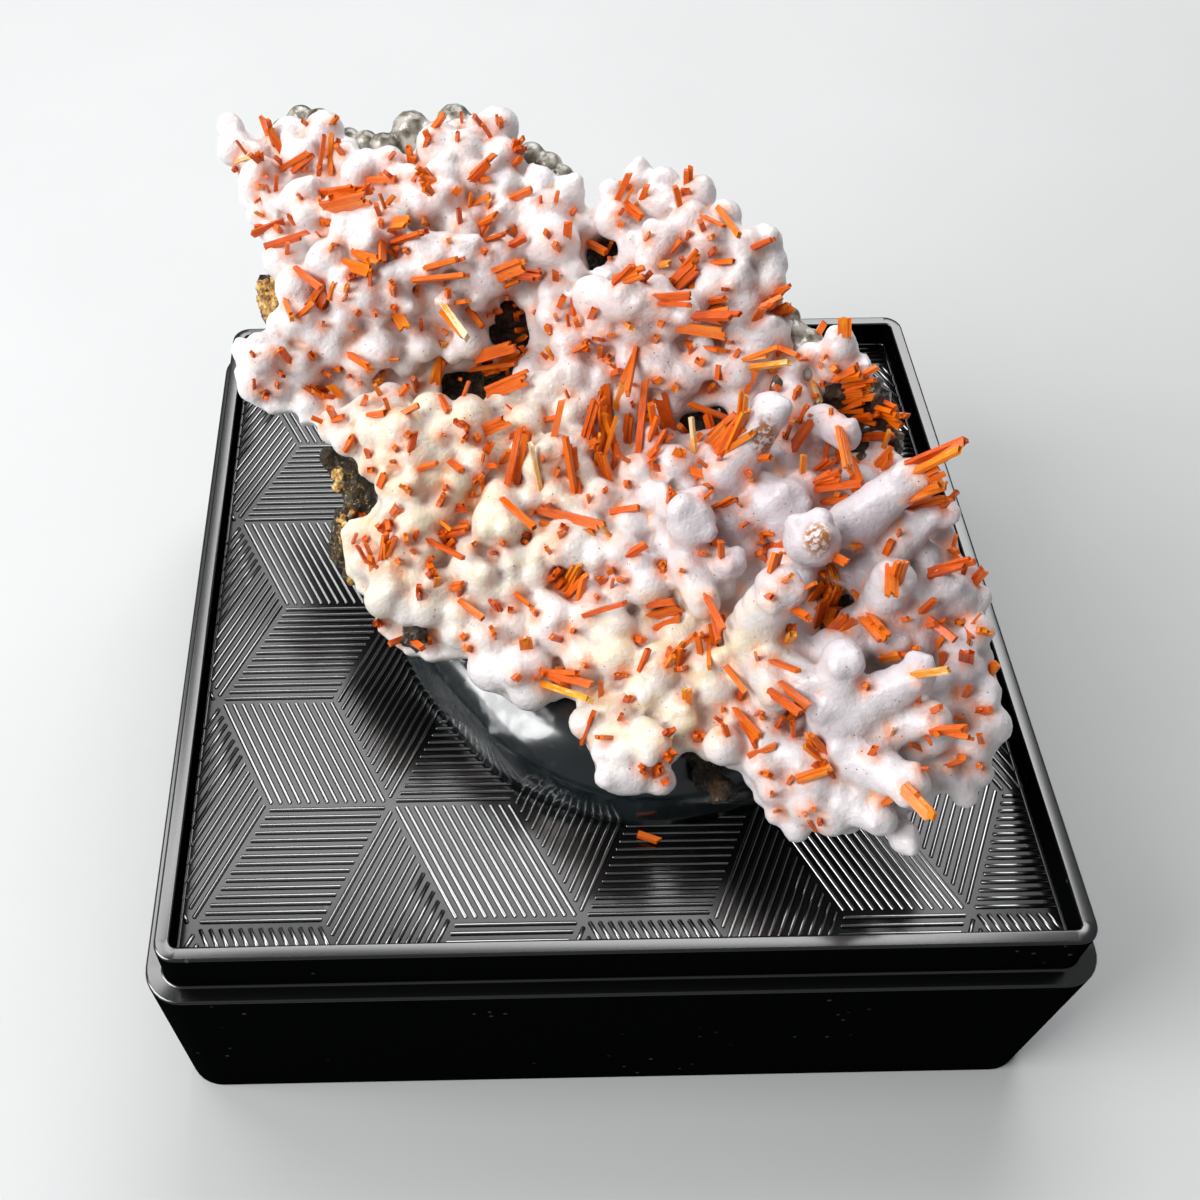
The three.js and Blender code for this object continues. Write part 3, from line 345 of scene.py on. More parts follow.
# Crocoite groups: root, how far the longest crystal reaches, how high it rises, how many crystals
# fan out from the root, and their width. The tangled groups have the most.
GROUPS = (
    ((-17.5, 23), (-0.3, 1.6), 1.4, 1, 0.4), ((-14.1, 20.3), (0.3, 2.6), 1.2, 2, 0.5),
    ((-16.2, 20.8), (1.3, 0.8), 0.9, 1, 0.5), ((-13.9, 18.6), (2.6, -0.2), 0.9, 4, 0.7),
    ((-8, 18.3), (-0.8, 0.9), 1, 6, 0.55), ((-17.6, 17.4), (-1.9, -0.4), 0.5, 2, 0.5),
    ((-13, 14.4), (1.5, -0.8), 0.9, 2, 0.55), ((-8.6, 12.6), (2.2, 0.2), 0.9, 1, 0.6),
    ((-5.4, 14.8), (1.2, 0.4), 1.1, 1, 0.55), ((-4.6, 11.3), (1.7, 0.4), 1.3, 1, 0.8),
    ((-15.6, 11.6), (1, 1.2), 0.9, 5, 0.45), ((-8.1, 9.6), (1.1, -1.8), 1.6, 1, 0.5),
    ((-8.9, 5.3), (0.3, 2.4), 1.6, 2, 0.45), ((-5.9, 5.4), (2.2, 0.8), 2, 3, 0.6),
    ((-15.8, 5.6), (-0.8, 0.6), 0.7, 9, 0.5), ((2.3, 9.5), (1.2, 0.9), 1, 1, 0.6),
    ((5.6, 9), (1.5, 1.4), 1, 1, 0.6), ((6.3, 6.5), (2.5, -0.5), 1.4, 3, 0.55),
    ((2.6, 5), (-0.8, -2.4), 1.3, 2, 0.45), ((0.1, -0.6), (0.3, 3.4), 1.8, 6, 0.5),
    ((3, 0.6), (0.3, 2.2), 1.6, 6, 0.5), ((-1.7, -2.6), (0.1, 2.6), 1.4, 1, 0.4),
    ((-5.2, -1.4), (0.4, 2.4), 1.4, 1, 0.35), ((6.3, -1.4), (1.7, 1.6), 1.5, 8, 0.6),
    ((8.6, 3.4), (1.8, 0.4), 1, 2, 0.35), ((10.8, 6.8), (0.8, 0.5), 1, 6, 0.5),
    ((13.6, 0.8), (1.4, 0.2), 1.3, 16, 0.5), ((15, -1), (1.1, -0.4), 1.2, 9, 0.5),
    ((13, -3.6), (0.3, -1.6), 1.4, 1, 0.9), ((11.2, -4.2), (1.6, 0.4), 1, 4, 0.5),
    ((16.8, -4.4), (2.3, 1.1), 1.6, 2, 0.42), ((17.3, -6.2), (1.2, 0.6), 1.2, 6, 0.5),
    ((16.6, -9.9), (1.9, 0.2), 1.2, 1, 0.5), ((14.2, -9.6), (-0.3, -1.6), 1.1, 1, 0.75),
    ((10.6, -11.4), (0.8, 1.2), 1.4, 14, 0.65), ((12.4, -12), (0.9, -1.5), 1, 1, 0.65),
    ((4.4, -11.4), (-0.1, -1.8), 1.3, 7, 0.4), ((1.4, -10.2), (1.9, 0.3), 1, 2, 0.5),
    ((-3, -7.8), (0.9, 1.2), 1.3, 12, 0.6), ((-3.8, -4.2), (2.7, -0.9), 0.9, 1, 0.45),
    ((-9.4, -4.3), (1.1, -0.9), 0.9, 1, 0.5), ((-13.2, -4.4), (0.3, 1.2), 1, 5, 0.55),
    ((-5, -12.4), (2.6, -1.1), 1.9, 3, 0.4), ((2.4, -13), (0.3, 1.1), 0.9, 2, 0.5),
    ((8.2, -15.8), (0.9, -1.3), 1.1, 1, 0.55), ((5.2, -16.6), (0.8, -1.3), 1, 2, 0.55),
    ((9.1, -18.6), (-0.6, 0.9), 0.9, 5, 0.5), ((13.2, -21.4), (0.7, -1.2), 0.9, 2, 0.44),
    ((14.8, -18.3), (1.4, -0.1), 1, 1, 0.45), ((16.9, -13), (0.5, -1.1), 0.8, 1, 0.5),
)
GROUP_FAN = 0.7
TANGLE = 4  # a group with more crystals than this is a tangle, with roots spread about
TANGLE_SPREAD = 0.9

# Single crystals: u and v of the root and of the tip, then the width and the tint where they aren't usual.
CRYSTALS = (
    # far left
    (-17.8, 23.55, -18.1, 24.8), (-17.1, 22.4, -17.85, 24.3), (-13.7, 23.5, -13.3, 23.9),
    (-18.5, 22, -18.5, 22.6), (-17, 21, -15.3, 21.7), (-14.8, 20.35, -14.25, 22.7), (-14, 21.4, -13.7, 22),
    (-14.7, 18.6, -12.2, 18.4, 0.8), (-14.5, 17.8, -11.8, 17.9, 0.8), (-11.85, 19.05, -10.1, 18.8),
    (-10.8, 17.2, -10.3, 17.7), (-5.3, 18.1, -3.9, 19.1), (-5.4, 17.8, -4.3, 18.7), (-5.6, 16.1, -4.5, 16.5),
    (-3.2, 16, -2, 16.3), (-10.5, 15.9, -9.5, 15.8, 0.7), (-10.6, 14.6, -8.6, 14.9),
    (-11.3, 14.8, -11.4, 13.5), (-5.3, 14.1, -4.7, 15), (-4.9, 13.6, -3.7, 13.8, 0.7), (-3.6, 13, -2.7, 13.3),
    (-13.7, 13.8, -12, 12.9, 0.6), (-16.7, 14, -15.4, 12.6), (-15.2, 12.9, -16.3, 11.6),
    (-17.6, 12, -17.3, 11), (-9.4, 11.9, -6.3, 11.6, 0.75), (-4, 11.3, -2.1, 10.6, 0.9),
    (-10.9, 10, -10.5, 8.9, 0.6), (-8, 9.9, -6.9, 7.7, 0.45, 0.98), (-6.6, 9.5, -5.9, 8.2),
    (-9.2, 5.5, -8.3, 7.7, 0.4, 0.8), (-6.3, 6.4, -3.9, 6.7, 0.6), (-5.9, 4.1, -3.5, 4.7, 0.85),
    (-6.8, 5.7, -4.3, 5.6, 0.3), (-13.9, 7.9, -12.9, 7), (-19.5, 17, -17, 17.3, 0.5),
    (-19.9, 22.2, -18.9, 22.3, 0.3, 0.93),
    # far right
    (2.9, 14.6, 3.8, 16.1), (3.4, 14, 4.2, 13), (3.9, 14, 4.8, 14.8, 0.35, 0.98),
    (7.6, 12.5, 8.7, 11.6, 0.55), (8.6, 12.7, 9.4, 10.9, 0.35), (10.3, 10, 11.4, 10.3, 0.6),
    (8, 9.5, 9, 9.4, 0.7), (5.3, 8.55, 6.9, 9.7, 0.85), (6.2, 8.7, 6.4, 8), (4.3, 8, 6.5, 7.7, 0.5),
    (4.5, 7.7, 6.4, 7.2, 0.5), (7, 6.5, 8, 6.6, 0.6),
    (9.9, 6.4, 11.2, 6.8), (10.5, 5.8, 11.6, 6), (5.3, 6, 8, 5, 0.66), (5.8, 5, 7.8, 4, 0.6),
    (2.2, 9.5, 3.8, 9.8, 0.7), (3.3, 10.2, 4, 10.5), (3.6, 9.2, 4.2, 9.7), (1.1, 2.1, 2.7, 5.4, 0.4, 0.8),
    (0.9, 12.2, 1.8, 11.4), (-0.5, 8.2, -0.4, 9), (7, 2.8, 7.2, 3.6), (8.8, 2.9, 10.9, 2.8, 0.35, 0.84),
    (10.4, 3.8, 11.4, 3.1), (14.1, 4, 14.3, 5.1, 0.6), (11.9, 1.3, 12.1, 0.2, 0.35, 0.93),
    (10.3, -2, 11.7, -0.4, 0.6),
    (12.9, -1.8, 12.9, -4, 0.95), (14.1, -2.1, 15.8, -2.4), (14.4, -3.8, 15.4, -3), (15.4, -1.1, 16, -1.9),
    (11.1, -4.6, 13.5, -4.7), (11.3, -5.4, 12.7, -5.4), (11.4, -3.6, 12.2, -3.1), (0.4, 0.4, 0.5, 3.6, 0.65),
    (0.5, -1.5, 0.8, -0.2), (0, -2.1, -0.2, -0.3), (1.4, 0, 1.8, 1.6), (1.9, -0.9, 2.9, 3.2),
    (3.8, 0.3, 3.6, 2.3), (3, -0.8, 3.8, 0.2), (5, -1.4, 5.1, 0.6, 0.3, 0.95), (7, 0.2, 5.1, 1.4),
    (6.1, -0.2, 6, 0.8), (6.1, -0.5, 7.5, 0.4), (6.5, -1.7, 7.4, -0.4), (7.7, -0.2, 8.2, 1.7),
    (8.4, 1.7, 9, 2.7), (-1.8, -1.5, -1.8, 0.3), (-0.9, 0.5, 0, 2.6), (-2.6, 0.9, -1.9, 2.9),
    (4.7, -2.4, 5.9, -3.1), (5.7, -4.8, 6.8, -4.4, 0.6),
    # lower left
    (-14.7, 2.3, -14.2, 2.9), (-15.3, 4.1, -14.7, 4.2), (-13, 4, -12.2, 4), (-11, 3.8, -10.2, 4.1),
    (-8.8, 4.2, -8.5, 3.4), (-6.5, 1.9, -5.1, 2.3), (-10.9, 1.6, -10.6, 2.5), (-12.9, -0.2, -12.6, 0.4),
    (-10.5, 0.3, -9.5, 0.4), (-8.6, 0.2, -8.1, -0.3), (-5.6, -1.5, -4.5, 1.7), (-5.1, -1.6, -4.2, 1.3),
    (-3.8, -1.9, -4, 0.6, 0.42, 0.96), (-1.9, -2.6, -2, 0.7, 0.35), (-12.9, -3, -11.8, -1.7),
    (-9.8, -3.8, -8, -3.7), (-10.4, -4.1, -8.6, -5.4), (-8.9, -8, -7.9, -9), (-5.9, -2.5, -4.4, -4.3),
    (-4, -3.3, -0.4, -4.9), (-5.8, -8, -5, -8.8), (-2.1, -9.6, 0, -9.3), (-5, -13.1, -2.6, -14.3, 0.45, 0.84),
    (-3.4, -17, -2.6, -15.5),
    # lower right
    (16.2, -4, 19.2, -3.2, 0.45), (16.4, -4.5, 18.8, -3.7, 0.45), (15.7, -6.5, 18, -6.2, 0.6),
    (15.9, -6, 17.7, -5.6), (0.7, -6.6, 1.6, -6.2), (7.8, -7.4, 9.3, -7.3), (8.2, -8.6, 8.6, -7.7, 0.7),
    (11.4, -8.5, 12, -9), (11.1, -8.9, 11.2, -9.8), (14.1, -8.6, 14.4, -8.1), (14.1, -10.5, 14.8, -9.1, 0.75),
    (16.2, -10.1, 18.2, -9.8, 0.75), (18.1, -10.9, 18.9, -10.2), (10.3, -11.2, 10.9, -12.9, 0.7),
    (12.1, -10.8, 13.1, -12.6, 0.75), (15.6, -12.6, 16.6, -13.8), (14.4, -15.3, 16, -15.3, 0.4, 0.86),
    (13, -14.2, 13.7, -14.2), (7.3, -13.6, 8.5, -14.3), (7, -15.3, 8.2, -16.5, 0.45),
    (7.6, -15, 8.7, -16.2, 0.4), (4.4, -9.7, 5, -11.5), (1.4, -9.6, 2.6, -9.6), (1.6, -10.9, 2.8, -10.6),
    (2.2, -12.4, 3.5, -11.6), (0.4, -12.9, 0.9, -12), (4.9, -13.7, 5.6, -15), (5, -16, 6, -17.4),
    (5.5, -18.3, 6.7, -18), (7.8, -19.8, 9.4, -19.5), (15.1, -18.4, 16.6, -18.9, 0.5),
    (12.8, -21.1, 13.9, -22.8, 0.6, 0.7), (0.2, -4.1, 1.5, -4.1),
)

# Stubs that stand up from the face: u, v.
STUBS = (
    (-3.4, 21), (-2.5, 18.9), (-6.6, 17), (-13.5, 12.9), (-16.3, 8.3), (-11, 11.7), (-5.4, 8.8), (-12.6, 6),
    (-14.9, 7.3), (7.1, 14.9), (6.8, 14.1), (10.3, 11.7), (9.5, 5.7), (0.8, 4.9), (-0.3, 12.9), (-1.3, 8.6),
    (-0.4, 7.2), (-2, 7.2), (6, 3.7), (4.5, 2.6), (6.4, 2), (12.6, 4.1), (14.9, 2.6), (13.3, 1.9),
    (10.9, 0.8), (2.6, 1.2), (4.1, -1.4), (5.2, -0.8), (1.1, -2.7), (2.5, -1.3), (3.3, -3.9), (-13.5, 4.8),
    (-12.4, 5.2), (-7.7, 2.4), (-7.6, 1.7), (-13.4, 0.7), (-6.6, 0.6), (-7.2, -0.8), (-11.4, -0.9),
    (-9.5, -1.9), (-8.6, -2.4), (-11.8, -3.8), (-12.4, -5), (-10.6, -5.4), (-10.3, -6.5), (-9.4, -6.9),
    (-11.3, -7.1), (-16.3, -3.2), (-13.8, -8.3), (-11.1, -9.7), (-7.4, -9.9), (-7, -8.6), (-6.3, -8.8),
    (-9.1, -9.9), (-2.8, -4.6), (-5.1, -5.1), (-1, -8), (0.2, -8.1), (-3, -10.4), (-5.7, -11), (-6.5, -12.5),
    (-4.8, -14.4), (-2, -16.4), (-0.8, -13.3), (0.3, -18.6), (2.2, -7.5), (12.7, -8.2), (17.3, -9.3),
    (8.4, -12.2), (18, -13.6), (16.9, -15), (18, -15.7), (4.5, -11.9), (3.6, -12.6), (0.3, -11.3),
    (1.9, -12.6), (2.6, -13.4), (-0.6, -14.6), (2.5, -15), (4.2, -17), (1.2, -16.7), (2.9, -17.2),
    (1.1, -17.7), (7.7, -17.6), (9, -18.5), (5.9, -19.4), (-0.3, -18.4), (0.7, -19.1), (15.7, -19.8),
    (16.6, -20.4), (3.2, -4), (2.5, -1.5),
)
CRYSTAL_WIDTH = (0.34, 0.56)
CRYSTAL_RISE = (0.3, 0.8)  # share of its length in view that a crystal's tip stands above its root
LEAST_RISE = 0.35
STUB_WIDTH = (0.36, 0.6)
STUB_LENGTH = (0.5, 1.1)
STUB_LEAN_U = (0.3, 0.45)  # mean and spread
STUB_LEAN_V = (0.2, 0.45)
STUB_LEAN_UP = 0.8
SPECK_COUNT = 360  # small crystals scattered in the crevices
SPECK_WIDTH = (0.2, 0.42)
SPECK_LENGTH = (0.4, 1.2)
SPECK_V = (-23, 25)
PRISM_CORNER = 1.2
PRISM_GROOVE = 0.84
PRISM_SLANT = 0.7
PRISM_FLATNESS = (0.6, 1.0)
PRISM_HOLLOW = 0.4  # share of its width that the deepest hollow end goes down
PRISM_RIM = 0.14
USUAL_TINT = (0.42, 0.14)
LEAST_TINT, MOST_TINT = 0.12, 0.8
BUNDLE_FROM = 0.46  # a wider crystal is a bundle of parallel ones
BUNDLE_PITCH = 0.22
BUNDLE_PART = (0.26, 0.38)
TIP_TINT = 0.16  # how much lighter a crystal's tip is than its root
ROOT_DEPTH = 0.3
SEAT_STEP = 0.02  # share of its distance from the middle that a root moves inwards to find a skin
GLOW_REACH = 0.95  # how far the painted orange glow around a crystal's root reaches over the crust
GROUP_REACH = 1.1  # single crystals this near to a group's root belong to the group

PUTTY_CENTRE = (2, -3)
PUTTY_HALF = (15.3, 13.7)
PUTTY_HEIGHT = 6.2
PUTTY_ROUNDNESS = 0.75  # 1 is an ellipsoid, and less has a flatter top and steeper sides
PUTTY_SWELL = 0.02
PUTTY_SINK = 0.05  # how far its underside lies in the floor
PUTTY_DENT = 0.12  # the dome is narrower by this share towards the near left
PUTTY_DENT_AT = math.radians(212)
PUTTY_DENT_WIDTH = math.radians(40)

CHIP_SIZE = (1.25, 0.4, 0.35)
CHIP_AT = (2, -17.4)
CHIP_TURN = math.radians(-22)


# ---- helpers for shapes ----


def face_height(u, v):
    height = 0
    for middle, reach, rise in FORMS:
        across = (u - middle[0]) / reach[0]
        along = (v - middle[1]) / reach[1]
        height += rise * math.exp(-across * across - along * along)
    return height


def is_inside(edge, u, v):
    inside = False
    for (u1, v1), (u2, v2) in zip(edge, edge[1:] + edge[:1]):
        if (v1 > v) != (v2 > v) and u < (u2 - u1) * (v - v1) / (v2 - v1) + u1:
            inside = not inside
    return inside


def near_inside(edge, u, v, margin):
    """Whether (u, v) is inside an edge widened by a margin, or narrowed by it where it is negative."""
    moves = ((0, 0), (margin, 0), (-margin, 0), (0, margin), (0, -margin))
    checks = (is_inside(edge, u + across, v + along) for across, along in moves)
    return any(checks) if margin > 0 else all(checks)


def in_hole(u, v, margin=0.0):
    for middle, half in HOLES:
        across = (u - middle[0]) / (half[0] + margin)
        along = (v - middle[1]) / (half[1] + margin)
        if across * across + along * along < 1:
            return True
    return False


def on_sight(u, v, height):
    """The point at a height above the slab on the camera's line of sight through (u, v)."""
    near = Vector((u, v, READING_HEIGHT))
    share = (height - READING_HEIGHT) / (CAMERA_ON_SLAB.z - READING_HEIGHT)
    return near.lerp(CAMERA_ON_SLAB, share)


def on_face(u, v, lift):
    """The point above the face by a lift on the camera's line of sight through (u, v)."""
    place = on_sight(u, v, face_height(u, v) + lift)
    return on_sight(u, v, face_height(place.x, place.y) + lift)


def add_small(shape, small):
    """Adds a small shape to a large one. An operator on the large one takes far longer."""
    mesh = bpy.data.meshes.new("small")
    small.to_mesh(mesh)
    small.free()
    shape.from_mesh(mesh)
    bpy.data.meshes.remove(mesh)


def ball(shape, place, radius, fineness=2):
    small = bmesh.new()
    matrix = Matrix.Translation(place)
    bmesh.ops.create_icosphere(small, subdivisions=fineness, radius=radius, matrix=matrix)
    add_small(shape, small)


def ball_chain(shape, start, end, radii):
    """A knobbly finger: balls in a row that grow together when they are remeshed."""
    steps = max(1, round((end - start).length / (FINGER_STEP * min(radii))))
    for i in range(steps + 1):
        share = i / steps
        ball(shape, start.lerp(end, share), radii[0] + (radii[1] - radii[0]) * share, 3)


def object_of(shape, name):
    mesh = bpy.data.meshes.new(name)
    shape.to_mesh(mesh)
    shape.free()
    made = bpy.data.objects.new(name, mesh)
    bpy.context.scene.collection.objects.link(made)
    return made


def part_of(vert):
    """Every corner that is joined to one corner by edges."""
    found = {vert}
    waiting = [vert]
    while waiting:
        one = waiting.pop()
        for edge in one.link_edges:
            other = edge.other_vert(one)
            if other not in found:
                found.add(other)
                waiting.append(other)
    return found


def drop_loose_parts(skin):
    """Keeps the largest joined part of a skin, and deletes any bit that isn't joined to it."""
    waiting = set(skin.verts)
    parts = []
    while waiting:
        parts.append(part_of(next(iter(waiting))))
        waiting -= parts[-1]
    for part in sorted(parts, key=len)[:-1]:
        bmesh.ops.delete(skin, geom=list(part), context="VERTS")


def grown_together(shape, voxel, smoothing):
    """One closed skin round every ball of a shape, as a bmesh."""
    rough = object_of(shape, "rough")
    remesh = rough.modifiers.new("skin", "REMESH")
    remesh.mode = "VOXEL"
    remesh.voxel_size = voxel
    smooth = rough.modifiers.new("smooth", "SMOOTH")
    smooth.factor = 0.5
    smooth.iterations = smoothing
    graph = bpy.context.evaluated_depsgraph_get()
    skin = bmesh.new()
    skin.from_object(rough, graph)
    bpy.data.objects.remove(rough)
    drop_loose_parts(skin)
    skin.normal_update()
    return skin


def roughen(shape, size, height, seed):
    """Moves the skin in and out by noise with bumps of a given size."""
    shape.normal_update()
    offset = Vector((seed, 0, 0))
    for vert in shape.verts:
        vert.co += vert.normal * height * noise.noise(vert.co / size + offset)


def read_values(items, name, width, kind=float):
    values = np.empty(len(items) * width, kind)
    items.foreach_get(name, values)
    return values.reshape(-1, width)


def hollowness(made, rounds):
    """How deep each corner lies under the smoothed skin: above 0 in a crevice, below 0 on a lump."""
    places = read_values(made.data.vertices, "co", 3)
    normals = read_values(made.data.vertices, "normal", 3)
    first, second = read_values(made.data.edges, "vertices", 2, np.int32).T
    count = len(places)
    neighbours = np.bincount(first, minlength=count) + np.bincount(second, minlength=count)
    smoothed = places.copy()
    for _ in range(rounds):
        for axis in range(3):
            along = smoothed[:, axis]
            total = np.bincount(first, along[second], count) + np.bincount(second, along[first], count)
            smoothed[:, axis] = total / neighbours
    return ((smoothed - places) * normals).sum(axis=1)


def note_values(made, name, values):
    made.data.attributes.new(name, "FLOAT", "POINT").data.foreach_set("value", values)


def place_piece(made, place, finish, slot, *stands_for):
    """Puts a finished piece in its place in metres, gives it its finish and ties it to the frame."""
    made.data.transform(TO_METRES @ place)
    made.data.materials.clear()
    made.data.materials.append(finish)
    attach(made, "root")
    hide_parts(*stands_for)
    return made


def shade_smooth(shape):
    for face in shape.faces:
        face.smooth = True


# ---- helpers for finishes ----


class Value:
    """A node's output. Sums and products of it add Math nodes."""

    def __init__(self, finish, output):
        self.finish = finish
        self.output = output

    def math(self, operation, other, swap=False):
        pair = (other, self) if swap else (self, other)
        return self.finish.node("Math", {"operation": operation}, {0: pair[0], 1: pair[1]})

    def __add__(self, other):
        return self.math("ADD", other)

    def __radd__(self, other):
        return self.math("ADD", other, True)

    def __sub__(self, other):
        return self.math("SUBTRACT", other)

    def __rsub__(self, other):
        return self.math("SUBTRACT", other, True)

    def __mul__(self, other):
        return self.math("MULTIPLY", other)

    def __rmul__(self, other):
        return self.math("MULTIPLY", other, True)

    def __gt__(self, other):
        return self.math("GREATER_THAN", other)


class Finish:
    """A material whose nodes are made by one method."""

    def __init__(self, name):
        self.material = bpy.data.materials.new(name)
        self.material.use_nodes = True
        self.tree = self.material.node_tree
        self.tree.nodes.clear()

    def node(self, kind, settings=None, values=None, output=0):
        made = self.tree.nodes.new("ShaderNode" + kind)
        for name, value in (settings or {}).items():
            if name == "stops":
                self.set_stops(made.color_ramp, value)
            else:
                setattr(made, name, value)
        for name, value in (values or {}).items():
            if isinstance(value, Value):
                self.tree.links.new(value.output, made.inputs[name])
            else:
                made.inputs[name].default_value = value
        return Value(self, made.outputs[output])

    @staticmethod
    def set_stops(ramp, stops):
        while len(ramp.elements) < len(stops):
            ramp.elements.new(1)
        for element, (place, shade) in zip(ramp.elements, stops):
            element.position = place
            element.color = (*shade, 1)

    def place(self):
        return self.node("TexCoord", output=3)

    def on_slab(self):
        """Position on the slab in its own millimetres."""
        settings = {"vector_type": "TEXTURE"}
        values = {
            "Vector": self.place(),
            "Location": SLAB_CENTRE * MM,
            "Rotation": (BACK_TILT, SIDE_TILT, 0),
            "Scale": (MM, MM, MM),
        }
        return self.node("Mapping", settings, values)

    def noise(self, where, scale, detail=3, roughness=0.5):
        values = {"Vector": where, "Scale": scale, "Detail": detail, "Roughness": roughness}
        return self.node("TexNoise", None, values)

    def ramp(self, factor, low, high, start=0.0, end=1.0):
        values = {"Value": factor, "From Min": low, "From Max": high, "To Min": start, "To Max": end}
        return self.node("MapRange", {"clamp": True}, values)

    def mix(self, factor, first, second):
        values = {0: factor, 6: first, 7: second}
        return self.node("Mix", {"data_type": "RGBA"}, values, output=2)

    def colour_at(self, factor, *stops):
        return self.node("ValToRGB", {"stops": stops}, {"Fac": factor})

    def spot(self, where, middle, reach, soft=0.5):
        """1 inside an oval place on the slab, 0 outside."""
        moved = self.node("VectorMath", {"operation": "SUBTRACT"}, {0: where, 1: (*middle, 0)})
        shares = (1 / reach[0], 1 / reach[1], 0)
        scaled = self.node("VectorMath", {"operation": "MULTIPLY"}, {0: moved, 1: shares})
        away = self.node("VectorMath", {"operation": "LENGTH"}, {0: scaled}, output=1)
        return self.ramp(away, 1 + soft, 1 - soft)

    def bump(self, height, strength, distance):
        values = {"Height": height, "Strength": strength, "Distance": distance}
        return self.node("Bump", None, values)

    def surface(self, values):
        shader = self.node("BsdfPrincipled", None, values)
        output = self.tree.nodes.new("ShaderNodeOutputMaterial")
        self.tree.links.new(shader.output, output.inputs["Surface"])
        return self.material


def shade(red, green, blue):
    return (red, green, blue, 1)


# ---- finishes ----


def crust_finish():
    finish = Finish("white_crust")
    where = finish.on_slab()
    crevice = finish.node("Attribute", {"attribute_name": "crevice"}, output=2)
    cloud = finish.noise(where, 0.22, 4)
    patch = finish.noise(where, 0.6, 3)
    grain = finish.noise(where, 6.0, 4, 0.6)
    cream_mask = finish.spot(where, (-9.5, -1.5), (8.5, 7.5), 0.35)
    cream_front = finish.spot(where, (1.5, -13.5), (5.5, 4.2), 0.4)
    lilac_mask = finish.spot(where, (11, -9.5), (9, 12), 0.35)
    pink_mask = finish.spot(where, (1.5, 7), (9, 7), 0.5)
    white = shade(0.74, 0.7, 0.7)
    cream = shade(0.73, 0.65, 0.48)
    lilac = shade(0.56, 0.51, 0.54)
    pink = shade(0.67, 0.57, 0.56)
    tone = finish.mix(pink_mask * finish.ramp(cloud, 0.4, 0.6), white, pink)
    tone = finish.mix(lilac_mask * finish.ramp(cloud, 0.35, 0.6, 0.35), tone, lilac)
    tone = finish.mix(cream_mask * finish.ramp(patch, 0.35, 0.6, 0.35), tone, cream)
    tone = finish.mix(cream_front * finish.ramp(patch, 0.4, 0.6, 0.3), tone, shade(0.8, 0.68, 0.46))
    # Crevices are darkened by their depth: the grey-pink-brown is painted shade, and the orange patches are
    # real stain.
    stain_and_shade = finish.mix(finish.ramp(patch, 0.54, 0.62), shade(0.5, 0.37, 0.33), shade(0.75, 0.3, 0.1))
    tone = finish.mix(finish.ramp(crevice, 0, 0.16, 0, 0.7), tone, stain_and_shade)
    # Painted orange glow near the crystals' roots, standing in for light passed on from the crystals.
    glow = finish.node("Attribute", {"attribute_name": "glow"}, output=2)
    uneven = finish.ramp(finish.noise(where, 1.6, 3), 0.35, 0.6, 0.25)
    tone = finish.mix(finish.ramp(glow, 0.1, 0.95, 0, 0.85) * uneven, tone, shade(0.85, 0.25, 0.05))
    specks = finish.node("TexVoronoi", {"feature": "F1"}, {"Vector": where, "Scale": 2.2})
    chosen = finish.noise(where, 0.9, 2)
    black = finish.ramp(specks, 0.12, 0.07) * finish.ramp(chosen, 0.49, 0.53)
    tone = finish.mix(black * 0.85, tone, shade(0.04, 0.035, 0.03))
    height = finish.node("SeparateXYZ", None, {0: where}, output=2)
    broken = finish.spot(where, (8.75, -1.9), (0.7, 0.9), 0.3)
    broken = broken + finish.spot(where, (10.3, -8.3), (0.7, 0.8), 0.3)
    broken = broken * finish.ramp(height, 2, 2.6) * finish.ramp(finish.noise(where, 3.4, 5), 0.42, 0.5)
    tone = finish.mix(broken, tone, finish.mix(patch, shade(0.12, 0.04, 0.02), shade(0.62, 0.26, 0.08)))
    sugary = finish.spot(where, (17, -15), (2, 6.5), 0.3)
    sugary = sugary + finish.spot(where, (6.8, -21.4), (2, 1.6), 0.3)
    sugary = sugary + finish.spot(where, (-14.8, -3.5), (1.6, 7), 0.3)
    relief = finish.noise(where, 3.5, 5, 0.55) + 3 * sugary * finish.noise(where, 2.5, 5, 0.75)
    return finish.surface({
        "Base Color": tone,
        "Roughness": finish.ramp(grain, 0.3, 0.7, 0.3, 0.48),
        "Normal": finish.bump(relief, 0.35, 0.0003),
        "Subsurface Weight": 0.2,
        "Subsurface Radius": (1.0, 0.6, 0.45),
        "Subsurface Scale": 0.0006,
        "Specular IOR Level": 0.45,
        "Coat Roughness": 0.12,
        "Coat Weight": 0.25,
    })


def rock_finish():
    finish = Finish("brown_rock")
    where = finish.on_slab()
    coarse = finish.noise(where, 0.8, 6, 0.65)
    fine = finish.noise(where, 4.0, 6, 0.7)
    tone = finish.colour_at(
        coarse, (0.3, (0.007, 0.005, 0.004)), (0.48, (0.034, 0.022, 0.012)), (0.66, (0.14, 0.085, 0.042))
    )
    lower_bits = finish.spot(where, (-15.6, -2.5), (1.6, 5.5), 0.4) * finish.ramp(fine, 0.55, 0.59)
    tone = finish.mix(lower_bits * 0.8, tone, shade(0.6, 0.42, 0.12))
    return finish.surface({
        "Base Color": tone,
        "Roughness": finish.ramp(fine, 0.35, 0.6, 0.65, 0.12),
        "Normal": finish.bump(fine + coarse, 0.8, 0.0008),
        "Coat Weight": finish.ramp(fine, 0.45, 0.6, 0.1, 0.7),
        "Coat Roughness": 0.15,
    })


